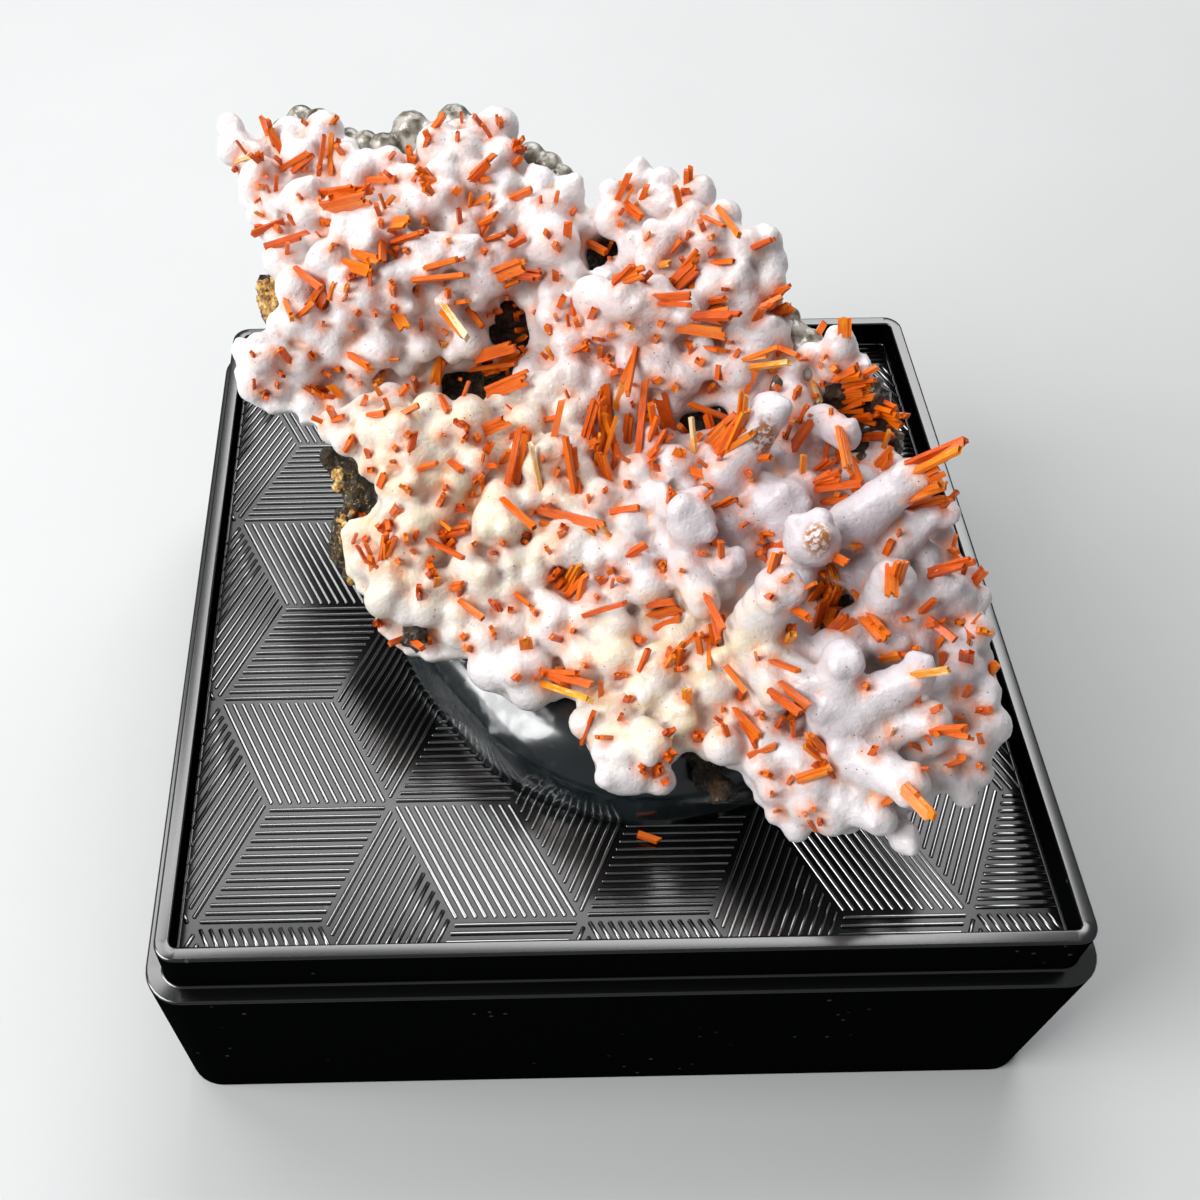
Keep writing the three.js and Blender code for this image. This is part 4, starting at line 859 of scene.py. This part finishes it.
def gold_finish():
    finish = Finish("golden_grains")
    grain = finish.noise(finish.on_slab(), 2.2, 4, 0.6)
    tone = finish.colour_at(
        grain, (0.34, (0.12, 0.05, 0.015)), (0.46, (0.42, 0.2, 0.04)), (0.58, (0.72, 0.46, 0.14)),
        (0.7, (0.85, 0.72, 0.42))
    )
    return finish.surface({
        "Base Color": tone,
        "Roughness": finish.ramp(grain, 0.35, 0.65, 0.4, 0.15),
        "Subsurface Weight": 0.2,
        "Subsurface Radius": (1, 0.6, 0.2),
        "Subsurface Scale": 0.0004,
        "Coat Weight": 0.5,
        "Coat Roughness": 0.1,
    })


def grey_finish():
    finish = Finish("grey_botryoids")
    where = finish.on_slab()
    cloud = finish.noise(where, 1.1, 4)
    tone = finish.colour_at(
        cloud, (0.36, (0.09, 0.075, 0.05)), (0.48, (0.26, 0.235, 0.19)), (0.6, (0.56, 0.53, 0.48))
    )
    return finish.surface({
        "Base Color": tone,
        "Roughness": finish.ramp(finish.noise(where, 3.0), 0.4, 0.6, 0.06, 0.25),
        "Normal": finish.bump(finish.noise(where, 1.2, 3), 0.12, 0.0004),
        "Subsurface Weight": 0.5,
        "Subsurface Radius": (1, 0.9, 0.8),
        "Subsurface Scale": 0.001,
        "Transmission Weight": 0.2,
        "Coat Weight": 0.4,
        "Coat Roughness": 0.05,
    })


def crocoite_finish():
    finish = Finish("crocoite")
    where = finish.on_slab()
    tint = finish.node("Attribute", {"attribute_name": "tint"}, output=2)
    around = finish.node("Attribute", {"attribute_name": "around"}, output=2)
    along = finish.node("Attribute", {"attribute_name": "along"}, output=2)
    cloud = finish.noise(where, 2.5, 3)
    grooves = finish.node("CombineXYZ", None, {0: around * 2.2, 1: along * 0.5})
    streaks = finish.noise(grooves, 2.0, 3, 0.6)
    tone = finish.colour_at(
        tint + 0.8 * (streaks - 0.5) + 0.3 * (cloud - 0.5),
        (0.0, (0.5, 0.045, 0.001)),
        (0.3, (0.8, 0.115, 0.001)),
        (0.6, (0.94, 0.19, 0.003)),
        (0.82, (0.95, 0.32, 0.01)),
        (0.93, (0.93, 0.52, 0.08)),
        (1.0, (0.9, 0.78, 0.52)),
    )
    return finish.surface({
        "Base Color": tone,
        "Roughness": finish.ramp(streaks, 0.35, 0.65, 0.05, 0.2),
        "Normal": finish.bump(streaks, 0.9, 0.00008),
        "Coat Weight": 0.2,
        "Coat Roughness": 0.05,
        "IOR": 1.52,
        "Specular IOR Level": 0.32,
        "Subsurface Weight": 0.08,
        "Subsurface Radius": (1, 0.25, 0.05),
        "Subsurface Scale": 0.0004,
        "Transmission Weight": 0.1,
    })


def plastic_finish():
    finish = Finish("black_plastic")
    where = finish.place()
    haze = finish.noise(where, 60.0, 5)
    dust = finish.node("TexVoronoi", {"feature": "F1"}, {"Vector": where, "Scale": 900.0})
    chosen = finish.noise(where, 150.0, 2)
    specks = finish.ramp(dust, 0.13, 0.08) * finish.ramp(chosen, 0.56, 0.6)
    scuffs = finish.noise(where, 1400.0, 4, 0.7)
    tone = finish.mix(specks * 0.12, shade(0.0018, 0.002, 0.0022), shade(0.35, 0.35, 0.36))
    facing = finish.node("NewGeometry", output=1)
    upward = finish.node("SeparateXYZ", None, {0: facing}, output=2)
    height = finish.node("SeparateXYZ", None, {0: where}, output=2)
    between_ribs = finish.node("Math", {"operation": "COMPARE"}, {0: height, 1: FLOOR_TOP * MM, 2: 0.00003})
    on_floor = finish.node("Math", {"operation": "COMPARE"}, {0: height, 1: FLOOR_TOP * MM, 2: 0.0002})
    return finish.surface({
        "Base Color": tone,
        "Roughness": finish.ramp(haze + 0.3 * scuffs, 0.45, 0.85, 0.22, 0.42),
        "Normal": finish.bump(scuffs, 0.3, 0.00008),
        "Specular IOR Level": 0.0,
        "Coat Weight": finish.ramp(upward, 0.2, 0.75) * (0.4 + 0.6 * on_floor) * (1 - 0.8 * between_ribs),
        "Coat IOR": 3.2,
        "Coat Roughness": 0.18,
    })


def putty_finish():
    finish = Finish("black_putty")
    where = finish.place()
    waves = finish.noise(where, 130.0, 2) + 0.35 * finish.noise(where, 330.0, 2)
    return finish.surface({
        "Base Color": finish.mix(waves, shade(0.003, 0.006, 0.007), shade(0.006, 0.011, 0.013)),
        "Roughness": finish.ramp(finish.noise(where, 300.0, 3), 0.4, 0.6, 0.14, 0.3),
        "Normal": finish.bump(waves, 1.0, 0.0024),
        "Coat Weight": 1.0,
        "Coat IOR": 1.7,
        "Coat Roughness": 0.15,
    })


# ---- box base ----


def moulded_step(shape, face, inward, up):
    """Insets a level face, then raises or lowers the inner part. Returns that part."""
    bmesh.ops.inset_region(shape, faces=[face], thickness=inward, use_even_offset=True)
    inner = bmesh.ops.extrude_discrete_faces(shape, faces=[face])["faces"][0]
    bmesh.ops.translate(shape, verts=inner.verts, vec=(0, 0, up))
    return inner


def base_shell():
    shape = bmesh.new()
    block = Matrix.Diagonal((LEDGE_SIDE, LEDGE_SIDE, SKIRT_HEIGHT, 1))
    lifted = Matrix.Translation((0, 0, SKIRT_HEIGHT / 2))
    bmesh.ops.create_cube(shape, size=1, matrix=lifted @ block)
    upright = [e for e in shape.edges if abs(e.verts[0].co.z - e.verts[1].co.z) > 1]
    bmesh.ops.bevel(
        shape, geom=upright, offset=LEDGE_CORNER, segments=8, profile=0.5, affect="EDGES", material=-1
    )
    shape.faces.ensure_lookup_table()
    top = max(shape.faces, key=lambda face: face.calc_center_median().z)
    bottom = min(shape.faces, key=lambda face: face.calc_center_median().z)
    rim = moulded_step(shape, top, (LEDGE_SIDE - RIM_SIDE) / 2, RIM_RISE)
    moulded_step(shape, rim, RIM_WALL, -RECESS_DEPTH)
    narrower = 1 - 2 * SKIRT_DRAFT / LEDGE_SIDE
    bmesh.ops.scale(shape, vec=(narrower, narrower, 1), verts=bottom.verts)
    moulded_step(shape, bottom, SHELL_WALL, FLOOR_TOP - FLOOR_THICKNESS)
    sharp = [e for e in shape.edges if e.calc_face_angle(0) > math.radians(50)]
    bmesh.ops.bevel(
        shape, geom=sharp, offset=EDGE_ROUNDING, segments=3, profile=0.5, affect="EDGES", material=-1
    )
    return shape


def clipped(start, end, half):
    """The part of a straight line inside the square recess, or None."""
    low, high = 0.0, 1.0
    for axis in (0, 1):
        way = end[axis] - start[axis]
        for limit, sign in ((half, 1), (-half, -1)):
            room = sign * (limit - start[axis])
            pace = sign * way
            if abs(pace) < 1e-9:
                if room < 0:
                    return None
            elif pace > 0:
                high = min(high, room / pace)
            else:
                low = max(low, room / pace)
    if high <= low:
        return None
    return start.lerp(end, low), start.lerp(end, high)


def rib(shape, start, end):
    """A low round-topped bar with rounded ends."""
    along = end - start
    length = along.length - RIB_WIDTH
    flat_up = Matrix.Rotation(math.pi / 8, 4, "Z")
    bar = bmesh.new()
    bmesh.ops.create_uvsphere(bar, u_segments=8, v_segments=3, radius=0.5, matrix=flat_up)
    for vert in bar.verts:
        stretch = math.copysign(length / 2, vert.co.z)
        vert.co = Vector((vert.co.z * RIB_WIDTH + stretch, vert.co.x * RIB_WIDTH, vert.co.y * 2 * RIB_HEIGHT))
    middle = start.lerp(end, 0.5)
    turn = Matrix.Rotation(math.atan2(along.y, along.x), 4, "Z")
    bar.transform(Matrix.Translation((middle.x, middle.y, FLOOR_TOP)) @ turn)
    add_small(shape, bar)


def rhombus_ribs(shape, corner, along, across):
    """Ribs parallel to one side of a rhombus, from one neighbouring side to the other."""
    normal = Vector((-along.y, along.x)).normalized()
    width = abs(across.dot(normal))
    count = int((width - 2 * RIB_MARGIN) / RIB_PITCH) + 1
    margin = (width - (count - 1) * RIB_PITCH) / 2
    shrink = along.normalized() * RIB_MARGIN
    for i in range(count):
        start = corner + across * ((margin + i * RIB_PITCH) / width)
        part = clipped(start + shrink, start + along - shrink, RECESS_HALF)
        if part and (part[1] - part[0]).length > SHORTEST_RIB:
            rib(shape, *part)


def floor_ribs(shape):
    side = Vector((TILE_SIDE, 0))
    up_right = Vector((TILE_SIDE / 2, ROW_STEP))
    up_left = Vector((-TILE_SIDE / 2, ROW_STEP))
    first_star = Vector(TILE_ORIGIN) + up_left
    for m in range(-6, 7):
        for n in range(-6, 7):
            star = first_star + m * (side + up_right) + n * (side - up_left)
            if max(abs(star.x), abs(star.y)) > RIM_SIDE:
                continue
            rhombus_ribs(shape, star, side, up_right)
            rhombus_ribs(shape, star, up_right, up_left)
            rhombus_ribs(shape, star, up_left, -side)


def build_base(finish):
    shape = base_shell()
    floor_ribs(shape)
    shade_smooth(shape)
    made = object_of(shape, "ribbed_box_base")
    place_piece(made, Matrix(), finish, "black_plastic", "box_base")
    weighted = made.modifiers.new("flat faces stay flat", "WEIGHTED_NORMAL")
    weighted.weight = 100
    return made


def build_putty(finish):
    shape = bmesh.new()
    bmesh.ops.create_uvsphere(shape, u_segments=96, v_segments=40, radius=1)
    for vert in shape.verts:
        flat = Vector((vert.co.x, vert.co.y))
        spread = flat.length ** PUTTY_ROUNDNESS
        around = flat.normalized() * spread if flat.length else flat
        away = (math.atan2(flat.y, flat.x) - PUTTY_DENT_AT + math.pi) % math.tau - math.pi
        dent = PUTTY_DENT * math.exp(-((away / PUTTY_DENT_WIDTH) ** 2)) * spread
        swell = 1 - dent + PUTTY_SWELL * noise.noise(Vector((around.x * 2, around.y * 2, 4)))
        height = max(vert.co.z, 0) ** PUTTY_ROUNDNESS * PUTTY_HEIGHT
        vert.co.x = PUTTY_CENTRE[0] + around.x * PUTTY_HALF[0] * swell
        vert.co.y = PUTTY_CENTRE[1] + around.y * PUTTY_HALF[1] * swell
        vert.co.z = FLOOR_TOP + height if vert.co.z > 0 else FLOOR_TOP - PUTTY_SINK
    bmesh.ops.remove_doubles(shape, verts=shape.verts, dist=1e-4)
    shade_smooth(shape)
    return place_piece(object_of(shape, "putty_dome"), Matrix(), finish, "black_putty", "putty")


# ---- specimen ----


def add_knobs(shape, place, radius, dice, count=None):
    """Small knobs on the upper side of a lump."""
    if count is None:
        count = dice.choice(KNOB_COUNTS)
    for _ in range(count):
        turn = dice.uniform(0, math.tau)
        lean = dice.uniform(*KNOB_LEAN)
        way = Vector((math.sin(lean) * math.cos(turn), math.sin(lean) * math.sin(turn), math.cos(lean)))
        size = radius * dice.uniform(*KNOB_SIZE)
        ball(shape, place + way * (radius - KNOB_SINK * size), size)


def crust_sheet(shape):
    """The thin sheet under the lumps, with a ragged edge."""
    sheet = bmesh.new()
    steps = round(SHEET_SPAN / SHEET_PITCH)
    bmesh.ops.create_grid(sheet, x_segments=steps, y_segments=steps, size=SHEET_SPAN / 2)
    outside = []
    for vert in sheet.verts:
        u = vert.co.x + SHEET_RAGGEDNESS * noise.noise(vert.co * SHEET_WAVES)
        v = vert.co.y + SHEET_RAGGEDNESS * noise.noise(vert.co * SHEET_WAVES + Vector((0, 0, 7)))
        if not near_inside(CRUST_EDGE, u, v, SHEET_MARGIN) or in_hole(u, v, HOLE_LIP):
            outside.append(vert)
    bmesh.ops.delete(sheet, geom=outside, context="VERTS")
    for vert in sheet.verts:
        vert.co.z = face_height(vert.co.x, vert.co.y) - SHEET_DROP
    bmesh.ops.solidify(sheet, geom=sheet.faces[:], thickness=SHEET_THICKNESS)
    add_small(shape, sheet)


def filler_lumps(dice, taken):
    """Smaller lumps wherever the listed ones leave room."""
    found = []
    for size in FILLER_SIZES:
        for _ in range(FILLER_TRIES):
            u, v = dice.uniform(*FACE_U), dice.uniform(*FACE_V)
            if not near_inside(CRUST_EDGE, u, v, -size) or in_hole(u, v, size):
                continue
            if all(math.hypot(u - x, v - y) > FILLER_ROOM * (size + r) for x, y, r in taken + found):
                found.append((u, v, size))
    return found


def edge_lumps(shape):
    """Small lumps along the sheet's edge. The sheet shows bare along the near left edge."""
    dice = random.Random(6)
    for (u1, v1), (u2, v2) in zip(CRUST_EDGE, CRUST_EDGE[1:] + CRUST_EDGE[:1]):
        steps = max(1, round(math.hypot(u2 - u1, v2 - v1) / EDGE_LUMP_PITCH))
        for i in range(steps):
            share = (i + dice.uniform(-EDGE_LUMP_SHIFT, EDGE_LUMP_SHIFT)) / steps
            u = (u1 + (u2 - u1) * share) * EDGE_LUMP_INSET
            v = (v1 + (v2 - v1) * share) * EDGE_LUMP_INSET
            radius = dice.uniform(*EDGE_LUMP_SIZE)
            if u > BARE_EDGE[0] or v > BARE_EDGE[1]:
                ball(shape, Vector((u, v, face_height(u, v) - dice.uniform(*EDGE_LUMP_DROP))), radius)


def crust_shape():
    dice = random.Random(11)
    shape = bmesh.new()
    crust_sheet(shape)
    edge_lumps(shape)
    placed = []
    for u, v, listed in LUMPS:
        radius = listed * LUMP_GROWTH
        lift = radius * (LUMP_LIFT + dice.uniform(-LUMP_UNEVENNESS, LUMP_UNEVENNESS))
        place = on_face(u, v, lift)
        placed.append((place.x, place.y, radius))
        ball(shape, place, radius, 3)
        add_knobs(shape, place, radius, dice)
    for u, v, radius, lift in LOW_LUMPS:
        place = on_face(u, v, lift)
        placed.append((place.x, place.y, radius))
        ball(shape, place, radius, 3)
    for start, end, radii, lifts in FINGERS:
        low = on_face(*start, lifts[0] * FINGER_LIFT)
        high = on_face(*end, lifts[1] * FINGER_LIFT)
        ball_chain(shape, low, high, radii)
        foot = Vector((low.x, low.y, face_height(low.x, low.y) - radii[0]))
        ball_chain(shape, foot, low, (radii[0] * FINGER_FOOT, radii[0]))
        add_knobs(shape, high, radii[1], dice, TIP_KNOBS)
        add_knobs(shape, low, radii[0], dice)
        placed.append((low.x, low.y, radii[0]))
        placed.append((high.x, high.y, radii[1]))
    for u, v, radius in filler_lumps(dice, placed):
        ball(shape, Vector((u, v, face_height(u, v) + FILLER_LIFT * radius)), radius)
    return shape


def build_crust(finish):
    skin = grown_together(crust_shape(), CRUST_VOXEL, CRUST_SMOOTHING)
    for bumps in CRUST_BUMPS:
        roughen(skin, *bumps)
    shade_smooth(skin)
    ground = BVHTree.FromBMesh(skin)
    made = object_of(skin, "botryoidal_crust")
    note_values(made, "crevice", hollowness(made, CREVICE_ROUNDS))
    place_piece(made, SLAB, finish, "white_crust", "white_crust")
    return made, ground


def merged_copy(node):
    """A CAD node's solid as one bmesh, back in the slab's millimetres."""
    shape = bmesh.new()
    shape.from_mesh(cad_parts[node].data)
    shape.transform((TO_METRES @ SLAB).inverted())
    bmesh.ops.remove_doubles(shape, verts=shape.verts, dist=1e-3)
    return shape


def build_rock(finish):
    shape = merged_copy("matrix_rock")
    for u, v, radius, lift in ROCK_BITS:
        ball(shape, on_face(u, v, lift), radius)
        ball(shape, on_face(u, v, lift - radius), radius)
    skin = grown_together(shape, ROCK_VOXEL, ROCK_SMOOTHING)
    for bumps in ROCK_BUMPS:
        roughen(skin, *bumps)
    ground = BVHTree.FromBMesh(skin)
    made = object_of(skin, "rough_matrix_rock")
    place_piece(made, SLAB, finish, "brown_rock", "matrix_rock")
    return made, ground


def build_gold_grains(finish, ground):
    """Angular golden grains in patches on the skin of the rock, along its left edge."""
    dice = random.Random(8)
    shape = bmesh.new()
    for (u, v), reach, count in GOLD_PATCHES:
        for _ in range(count):
            at = (u + reach[0] * dice.uniform(-1, 1), v + reach[1] * dice.uniform(-1, 1))
            ball(shape, seat(ground, *at)[2], dice.uniform(*GRAIN_SIZE), 1)
    roughen(shape, *GRAIN_BUMPS)
    return place_piece(object_of(shape, "golden_grains"), SLAB, finish, "brown_rock")


def build_grey_balls(node, balls, finish):
    shape = bmesh.new()
    for u, v, radius in balls:
        place = Vector((u, v, face_height(u, v) - GREY_DROP))
        ball(shape, place, radius)
        ball(shape, place + GREY_FOOT, radius)
    skin = grown_together(shape, GREY_VOXEL, GREY_SMOOTHING)
    shade_smooth(skin)
    return place_piece(object_of(skin, node + "_glassy"), SLAB, finish, "grey_botryoids", node)


# ---- crocoite ----


def prism(shape, root, way, width, length, roll, dice):
    """A four-sided prism, grooved along each side, with a slanting end that may be hollow."""
    bmesh.ops.create_cone(
        shape, cap_ends=True, segments=8, radius1=width / 2, radius2=width / 2, depth=length
    )
    slant = dice.uniform(-PRISM_SLANT, PRISM_SLANT)
    flatness = dice.uniform(*PRISM_FLATNESS)
    for vert in shape.verts:
        eighths = round(math.atan2(vert.co.y, vert.co.x) / (math.pi / 4))
        reach = PRISM_CORNER if eighths % 2 else PRISM_GROOVE
        vert.co.x *= reach
        vert.co.y *= reach * flatness
        if vert.co.z > 0:
            vert.co.z += slant * vert.co.x
        vert.co.z += length / 2
    end = max(shape.faces, key=lambda face: face.calc_center_median().z)
    hollow = width * max(0, dice.uniform(-PRISM_HOLLOW, PRISM_HOLLOW))
    bmesh.ops.inset_region(shape, faces=[end], thickness=width * PRISM_RIM, depth=-hollow)
    around = [math.atan2(vert.co.y, vert.co.x) for vert in shape.verts]
    along = [vert.co.z for vert in shape.verts]
    turn = way.to_track_quat("Z", "Y").to_matrix().to_4x4() @ Matrix.Rotation(roll, 4, "Z")
    shape.transform(Matrix.Translation(root) @ turn)
    return around, along


def root_on(ground, u, v):
    """Where the camera's line of sight through (u, v) first meets a skin, and the skin's normal.

    A line that passes every skin ends on the face, and there is no normal."""
    along = Vector((u, v, READING_HEIGHT)) - CAMERA_ON_SLAB
    meets = [skin.ray_cast(CAMERA_ON_SLAB, along) for skin in ground]
    meets = [meet for meet in meets if meet[0] is not None]
    if not meets:
        return on_face(u, v, -1), None
    place, faces = min(meets, key=lambda meet: meet[3])[:2]
    return place, faces


def seat(ground, u, v):
    """The nearest place to (u, v), towards the middle of the face, that lies on a skin, and its root."""
    share = 1
    root, faces = root_on(ground, u, v)
    while faces is None:
        share -= SEAT_STEP
        root, faces = root_on(ground, u * share, v * share)
    return u * share, v * share, root


class Crystals:
    """Prisms in one shape, with values for each corner that the finish reads.

    Their roots on the skin are added to a list."""

    def __init__(self, dice, roots):
        self.shape = bmesh.new()
        self.values = {"tint": [], "around": [], "along": []}
        self.dice = dice
        self.roots = roots

    def add(self, root, way, width, length, tint, roll=0.0):
        small = bmesh.new()
        around, along = prism(small, root, way.normalized(), width, length, roll, self.dice)
        apart = self.dice.uniform(0, 90)
        self.values["around"] += [value + apart for value in around]
        self.values["along"] += along
        self.values["tint"] += [tint + TIP_TINT * (value / length - 0.5) for value in along]
        add_small(self.shape, small)

    def grow(self, root, way, width, tint=None):
        """A crystal from a root on the skin, or a bundle of parallel ones if it is wide."""
        self.roots.append(root)
        dice = self.dice
        length = way.length + ROOT_DEPTH
        foot = root - way.normalized() * ROOT_DEPTH
        roll = dice.uniform(0, math.pi)
        if tint is None:
            tint = min(MOST_TINT, max(LEAST_TINT, dice.gauss(*USUAL_TINT)))
        if width < BUNDLE_FROM:
            self.add(foot, way, width, length, tint, roll)
            return
        parts = round(width / BUNDLE_PITCH)
        turned = way.to_track_quat("Z", "Y") @ Quaternion((0, 0, 1), roll)
        for i in range(parts):
            aside = (i - (parts - 1) / 2) * BUNDLE_PITCH
            shift = turned @ Vector((aside, BUNDLE_PITCH * dice.uniform(-0.4, 0.4), 0))
            part_tint = tint + dice.uniform(-0.1, 0.1)
            part_length = length * dice.uniform(0.8, 1)
            self.add(foot + shift, way, dice.uniform(*BUNDLE_PART), part_length, part_tint, roll)

    def grow_between(self, ground, u, v, tip_u, tip_v, width=None, tint=None):
        """A crystal that shows from (u, v) to (tip_u, tip_v)."""
        seat_u, seat_v, root = seat(ground, u, v)
        rise = math.hypot(tip_u - u, tip_v - v) * self.dice.uniform(*CRYSTAL_RISE)
        tip = on_sight(tip_u + seat_u - u, tip_v + seat_v - v, root.z + max(rise, LEAST_RISE))
        self.grow(root, tip - root, width or self.dice.uniform(*CRYSTAL_WIDTH), tint)

    def grow_stub(self, ground, u, v, widths=STUB_WIDTH, lengths=STUB_LENGTH):
        """A short crystal that stands up from the skin and leans a little to the far right."""
        root, faces = root_on(ground, u, v)
        if faces is None:
            return
        lean = Vector((self.dice.gauss(*STUB_LEAN_U), self.dice.gauss(*STUB_LEAN_V), STUB_LEAN_UP))
        way = (faces + lean).normalized() * self.dice.uniform(*lengths)
        self.grow(root, way, self.dice.uniform(*widths))

    def piece(self, name, place, finish, *stands_for):
        made = object_of(self.shape, name)
        for value, found in self.values.items():
            note_values(made, value, found)
        return place_piece(made, place, finish, "crocoite", *stands_for)


def near_group(plan, place):
    return math.hypot(place[0] - plan[0][0], place[1] - plan[0][1]) < GROUP_REACH


def grow_fan(crystals, plan, ground):
    """The crystals that fan out from a group's root, the longest one in the middle."""
    (u, v), reach, rise, count, width = plan
    dice = crystals.dice
    spread = TANGLE_SPREAD if count > TANGLE else 0
    for i in range(count):
        fan = GROUP_FAN * (i - count // 2) / max(count, 3)
        size = 1 if i == count // 2 else dice.uniform(0.45, 0.9)
        from_u = u + spread * dice.gauss(0, 0.6) * (i != count // 2)
        from_v = v + spread * dice.gauss(0, 0.6) * (i != count // 2)
        from_u, from_v, root = seat(ground, from_u, from_v)
        tip_u = from_u + size * (reach[0] - fan * reach[1])
        tip_v = from_v + size * (reach[1] + fan * reach[0])
        tip = on_sight(tip_u, tip_v, root.z + size * rise * dice.uniform(0.7, 1.2))
        crystals.grow(root, tip - root, width * dice.uniform(0.6, 1.0) if i != count // 2 else width)


def build_group(number, plan, ground, roots, finish):
    crystals = Crystals(random.Random(number), roots)
    grow_fan(crystals, plan, ground)
    for crystal in CRYSTALS:
        if near_group(plan, crystal):
            crystals.grow_between(ground, *crystal)
    node = "crocoite_spray_%02d" % number
    return crystals.piece("crocoite_group_%02d" % number, SLAB, finish, node)


def lowest_spot(ground, dice, tries=3):
    """Of a few places on the crust, the one that lies deepest."""
    best = None
    for _ in range(tries):
        u, v = dice.uniform(*FACE_U), dice.uniform(*SPECK_V)
        if not is_inside(CRUST_EDGE, u, v):
            continue
        place, faces = root_on(ground, u, v)
        depth = place.z - face_height(u, v)
        if faces is not None and (best is None or depth < best[0]):
            best = (depth, u, v)
    return best


def build_single_crystals(ground, roots, finish):
    """Every crystal that isn't in one of the groups."""
    dice = random.Random(5)
    crystals = Crystals(dice, roots)
    for crystal in CRYSTALS:
        if not any(near_group(plan, crystal) for plan in GROUPS):
            crystals.grow_between(ground, *crystal)
    for u, v in STUBS:
        crystals.grow_stub(ground, u, v)
    made = 0
    while made < SPECK_COUNT:
        found = lowest_spot(ground, dice)
        if found:
            crystals.grow_stub(ground, found[1], found[2], SPECK_WIDTH, SPECK_LENGTH)
            made += 1
    return crystals.piece("crocoite_single_crystals", SLAB, finish)


def note_glow(crust, roots):
    """How near each corner of the crust is to a crystal's root, for the painted orange glow: 1 at the root, 0
    out of reach.
    """
    tree = KDTree(len(roots))
    for index, root in enumerate(roots):
        tree.insert(TO_METRES @ SLAB @ root, index)
    tree.balance()
    reach = GLOW_REACH * MM
    glow = [max(0, 1 - tree.find(vert.co)[2] / reach) for vert in crust.data.vertices]
    note_values(crust, "glow", glow)


def build_chip(finish):
    dice = random.Random(2)
    crystals = Crystals(dice, [])
    along = Vector((math.cos(CHIP_TURN), math.sin(CHIP_TURN), 0))
    middle = Vector((*CHIP_AT, FLOOR_TOP + RIB_HEIGHT + CHIP_SIZE[2] / 2))
    crystals.add(middle - along * CHIP_SIZE[0] / 2, along, CHIP_SIZE[1], CHIP_SIZE[0], 0.45)
    return crystals.piece("loose_crocoite_chip", Matrix(), finish, "loose_chip")


# ---- stage, light and camera ----


def build_stage():
    shape = bmesh.new()
    bmesh.ops.create_grid(shape, x_segments=1, y_segments=1, size=1.5)
    floor = object_of(shape, "floor")
    finish = Finish("pale_floor")
    haze = finish.noise(finish.place(), 40.0, 3)
    floor.data.materials.append(finish.surface({
        "Base Color": finish.mix(haze, shade(0.54, 0.55, 0.55), shade(0.58, 0.59, 0.59)),
        "Roughness": 0.7,
    }))


def soft_light(name, place, size, power, aim):
    lamp = bpy.data.lights.new(name, "AREA")
    lamp.shape = "SQUARE"
    lamp.size = size
    lamp.energy = power
    made = bpy.data.objects.new(name, lamp)
    made.location = place
    made.rotation_euler = (Vector(aim) - Vector(place)).to_track_quat("-Z", "Y").to_euler()
    bpy.context.scene.collection.objects.link(made)


def build_light():
    aim = (0, 0, 0.02)
    soft_light("key from the far left", (-0.16, 0.12, 0.3), 0.14, 0.26, aim)
    soft_light("window at the left", (-0.23, -0.085, 0.2), 0.19, 1.1, aim)
    soft_light("soft light from behind", (0.04, 0.21, 0.27), 0.24, 0.84, aim)
    world = bpy.data.worlds.new("studio")
    world.use_nodes = True
    background = world.node_tree.nodes["Background"]
    background.inputs["Color"].default_value = shade(0.95, 0.97, 1.0)
    background.inputs["Strength"].default_value = 0.2
    bpy.context.scene.world = world
    bpy.context.scene.view_settings.view_transform = "Standard"


def build_camera():
    yaw, pitch, roll = CAMERA_YAW, CAMERA_PITCH, CAMERA_ROLL
    ahead = Vector((math.sin(yaw) * math.cos(pitch), math.cos(yaw) * math.cos(pitch), -math.sin(pitch)))
    level = Vector((math.cos(yaw), -math.sin(yaw), 0))
    over = level.cross(ahead)
    right = math.cos(roll) * level + math.sin(roll) * over
    up = -math.sin(roll) * level + math.cos(roll) * over
    turn = Matrix((right, up, -ahead)).transposed().to_4x4()
    camera = bpy.data.cameras.new("camera")
    camera.lens = CAMERA_LENS
    camera.shift_x, camera.shift_y = CAMERA_SHIFT
    camera.clip_start = 0.005
    made = bpy.data.objects.new("camera", camera)
    made.matrix_world = Matrix.Translation(CAMERA_PLACE * MM) @ turn
    bpy.context.scene.collection.objects.link(made)
    bpy.context.scene.camera = made


def main():
    build_stage()
    build_light()
    build_camera()
    build_base(plastic_finish())
    build_putty(putty_finish())
    rock_skin = build_rock(rock_finish())[1]
    build_gold_grains(gold_finish(), (rock_skin,))
    grey = grey_finish()
    for node, balls in GREY_BALLS.items():
        build_grey_balls(node, balls, grey)
    crust, crust_skin = build_crust(crust_finish())
    ground = (crust_skin, rock_skin)
    crocoite = crocoite_finish()
    roots = []
    for number, plan in enumerate(GROUPS, 1):
        build_group(number, plan, ground, roots, crocoite)
    build_single_crystals(ground, roots, crocoite)
    note_glow(crust, roots)
    build_chip(crocoite)


main()
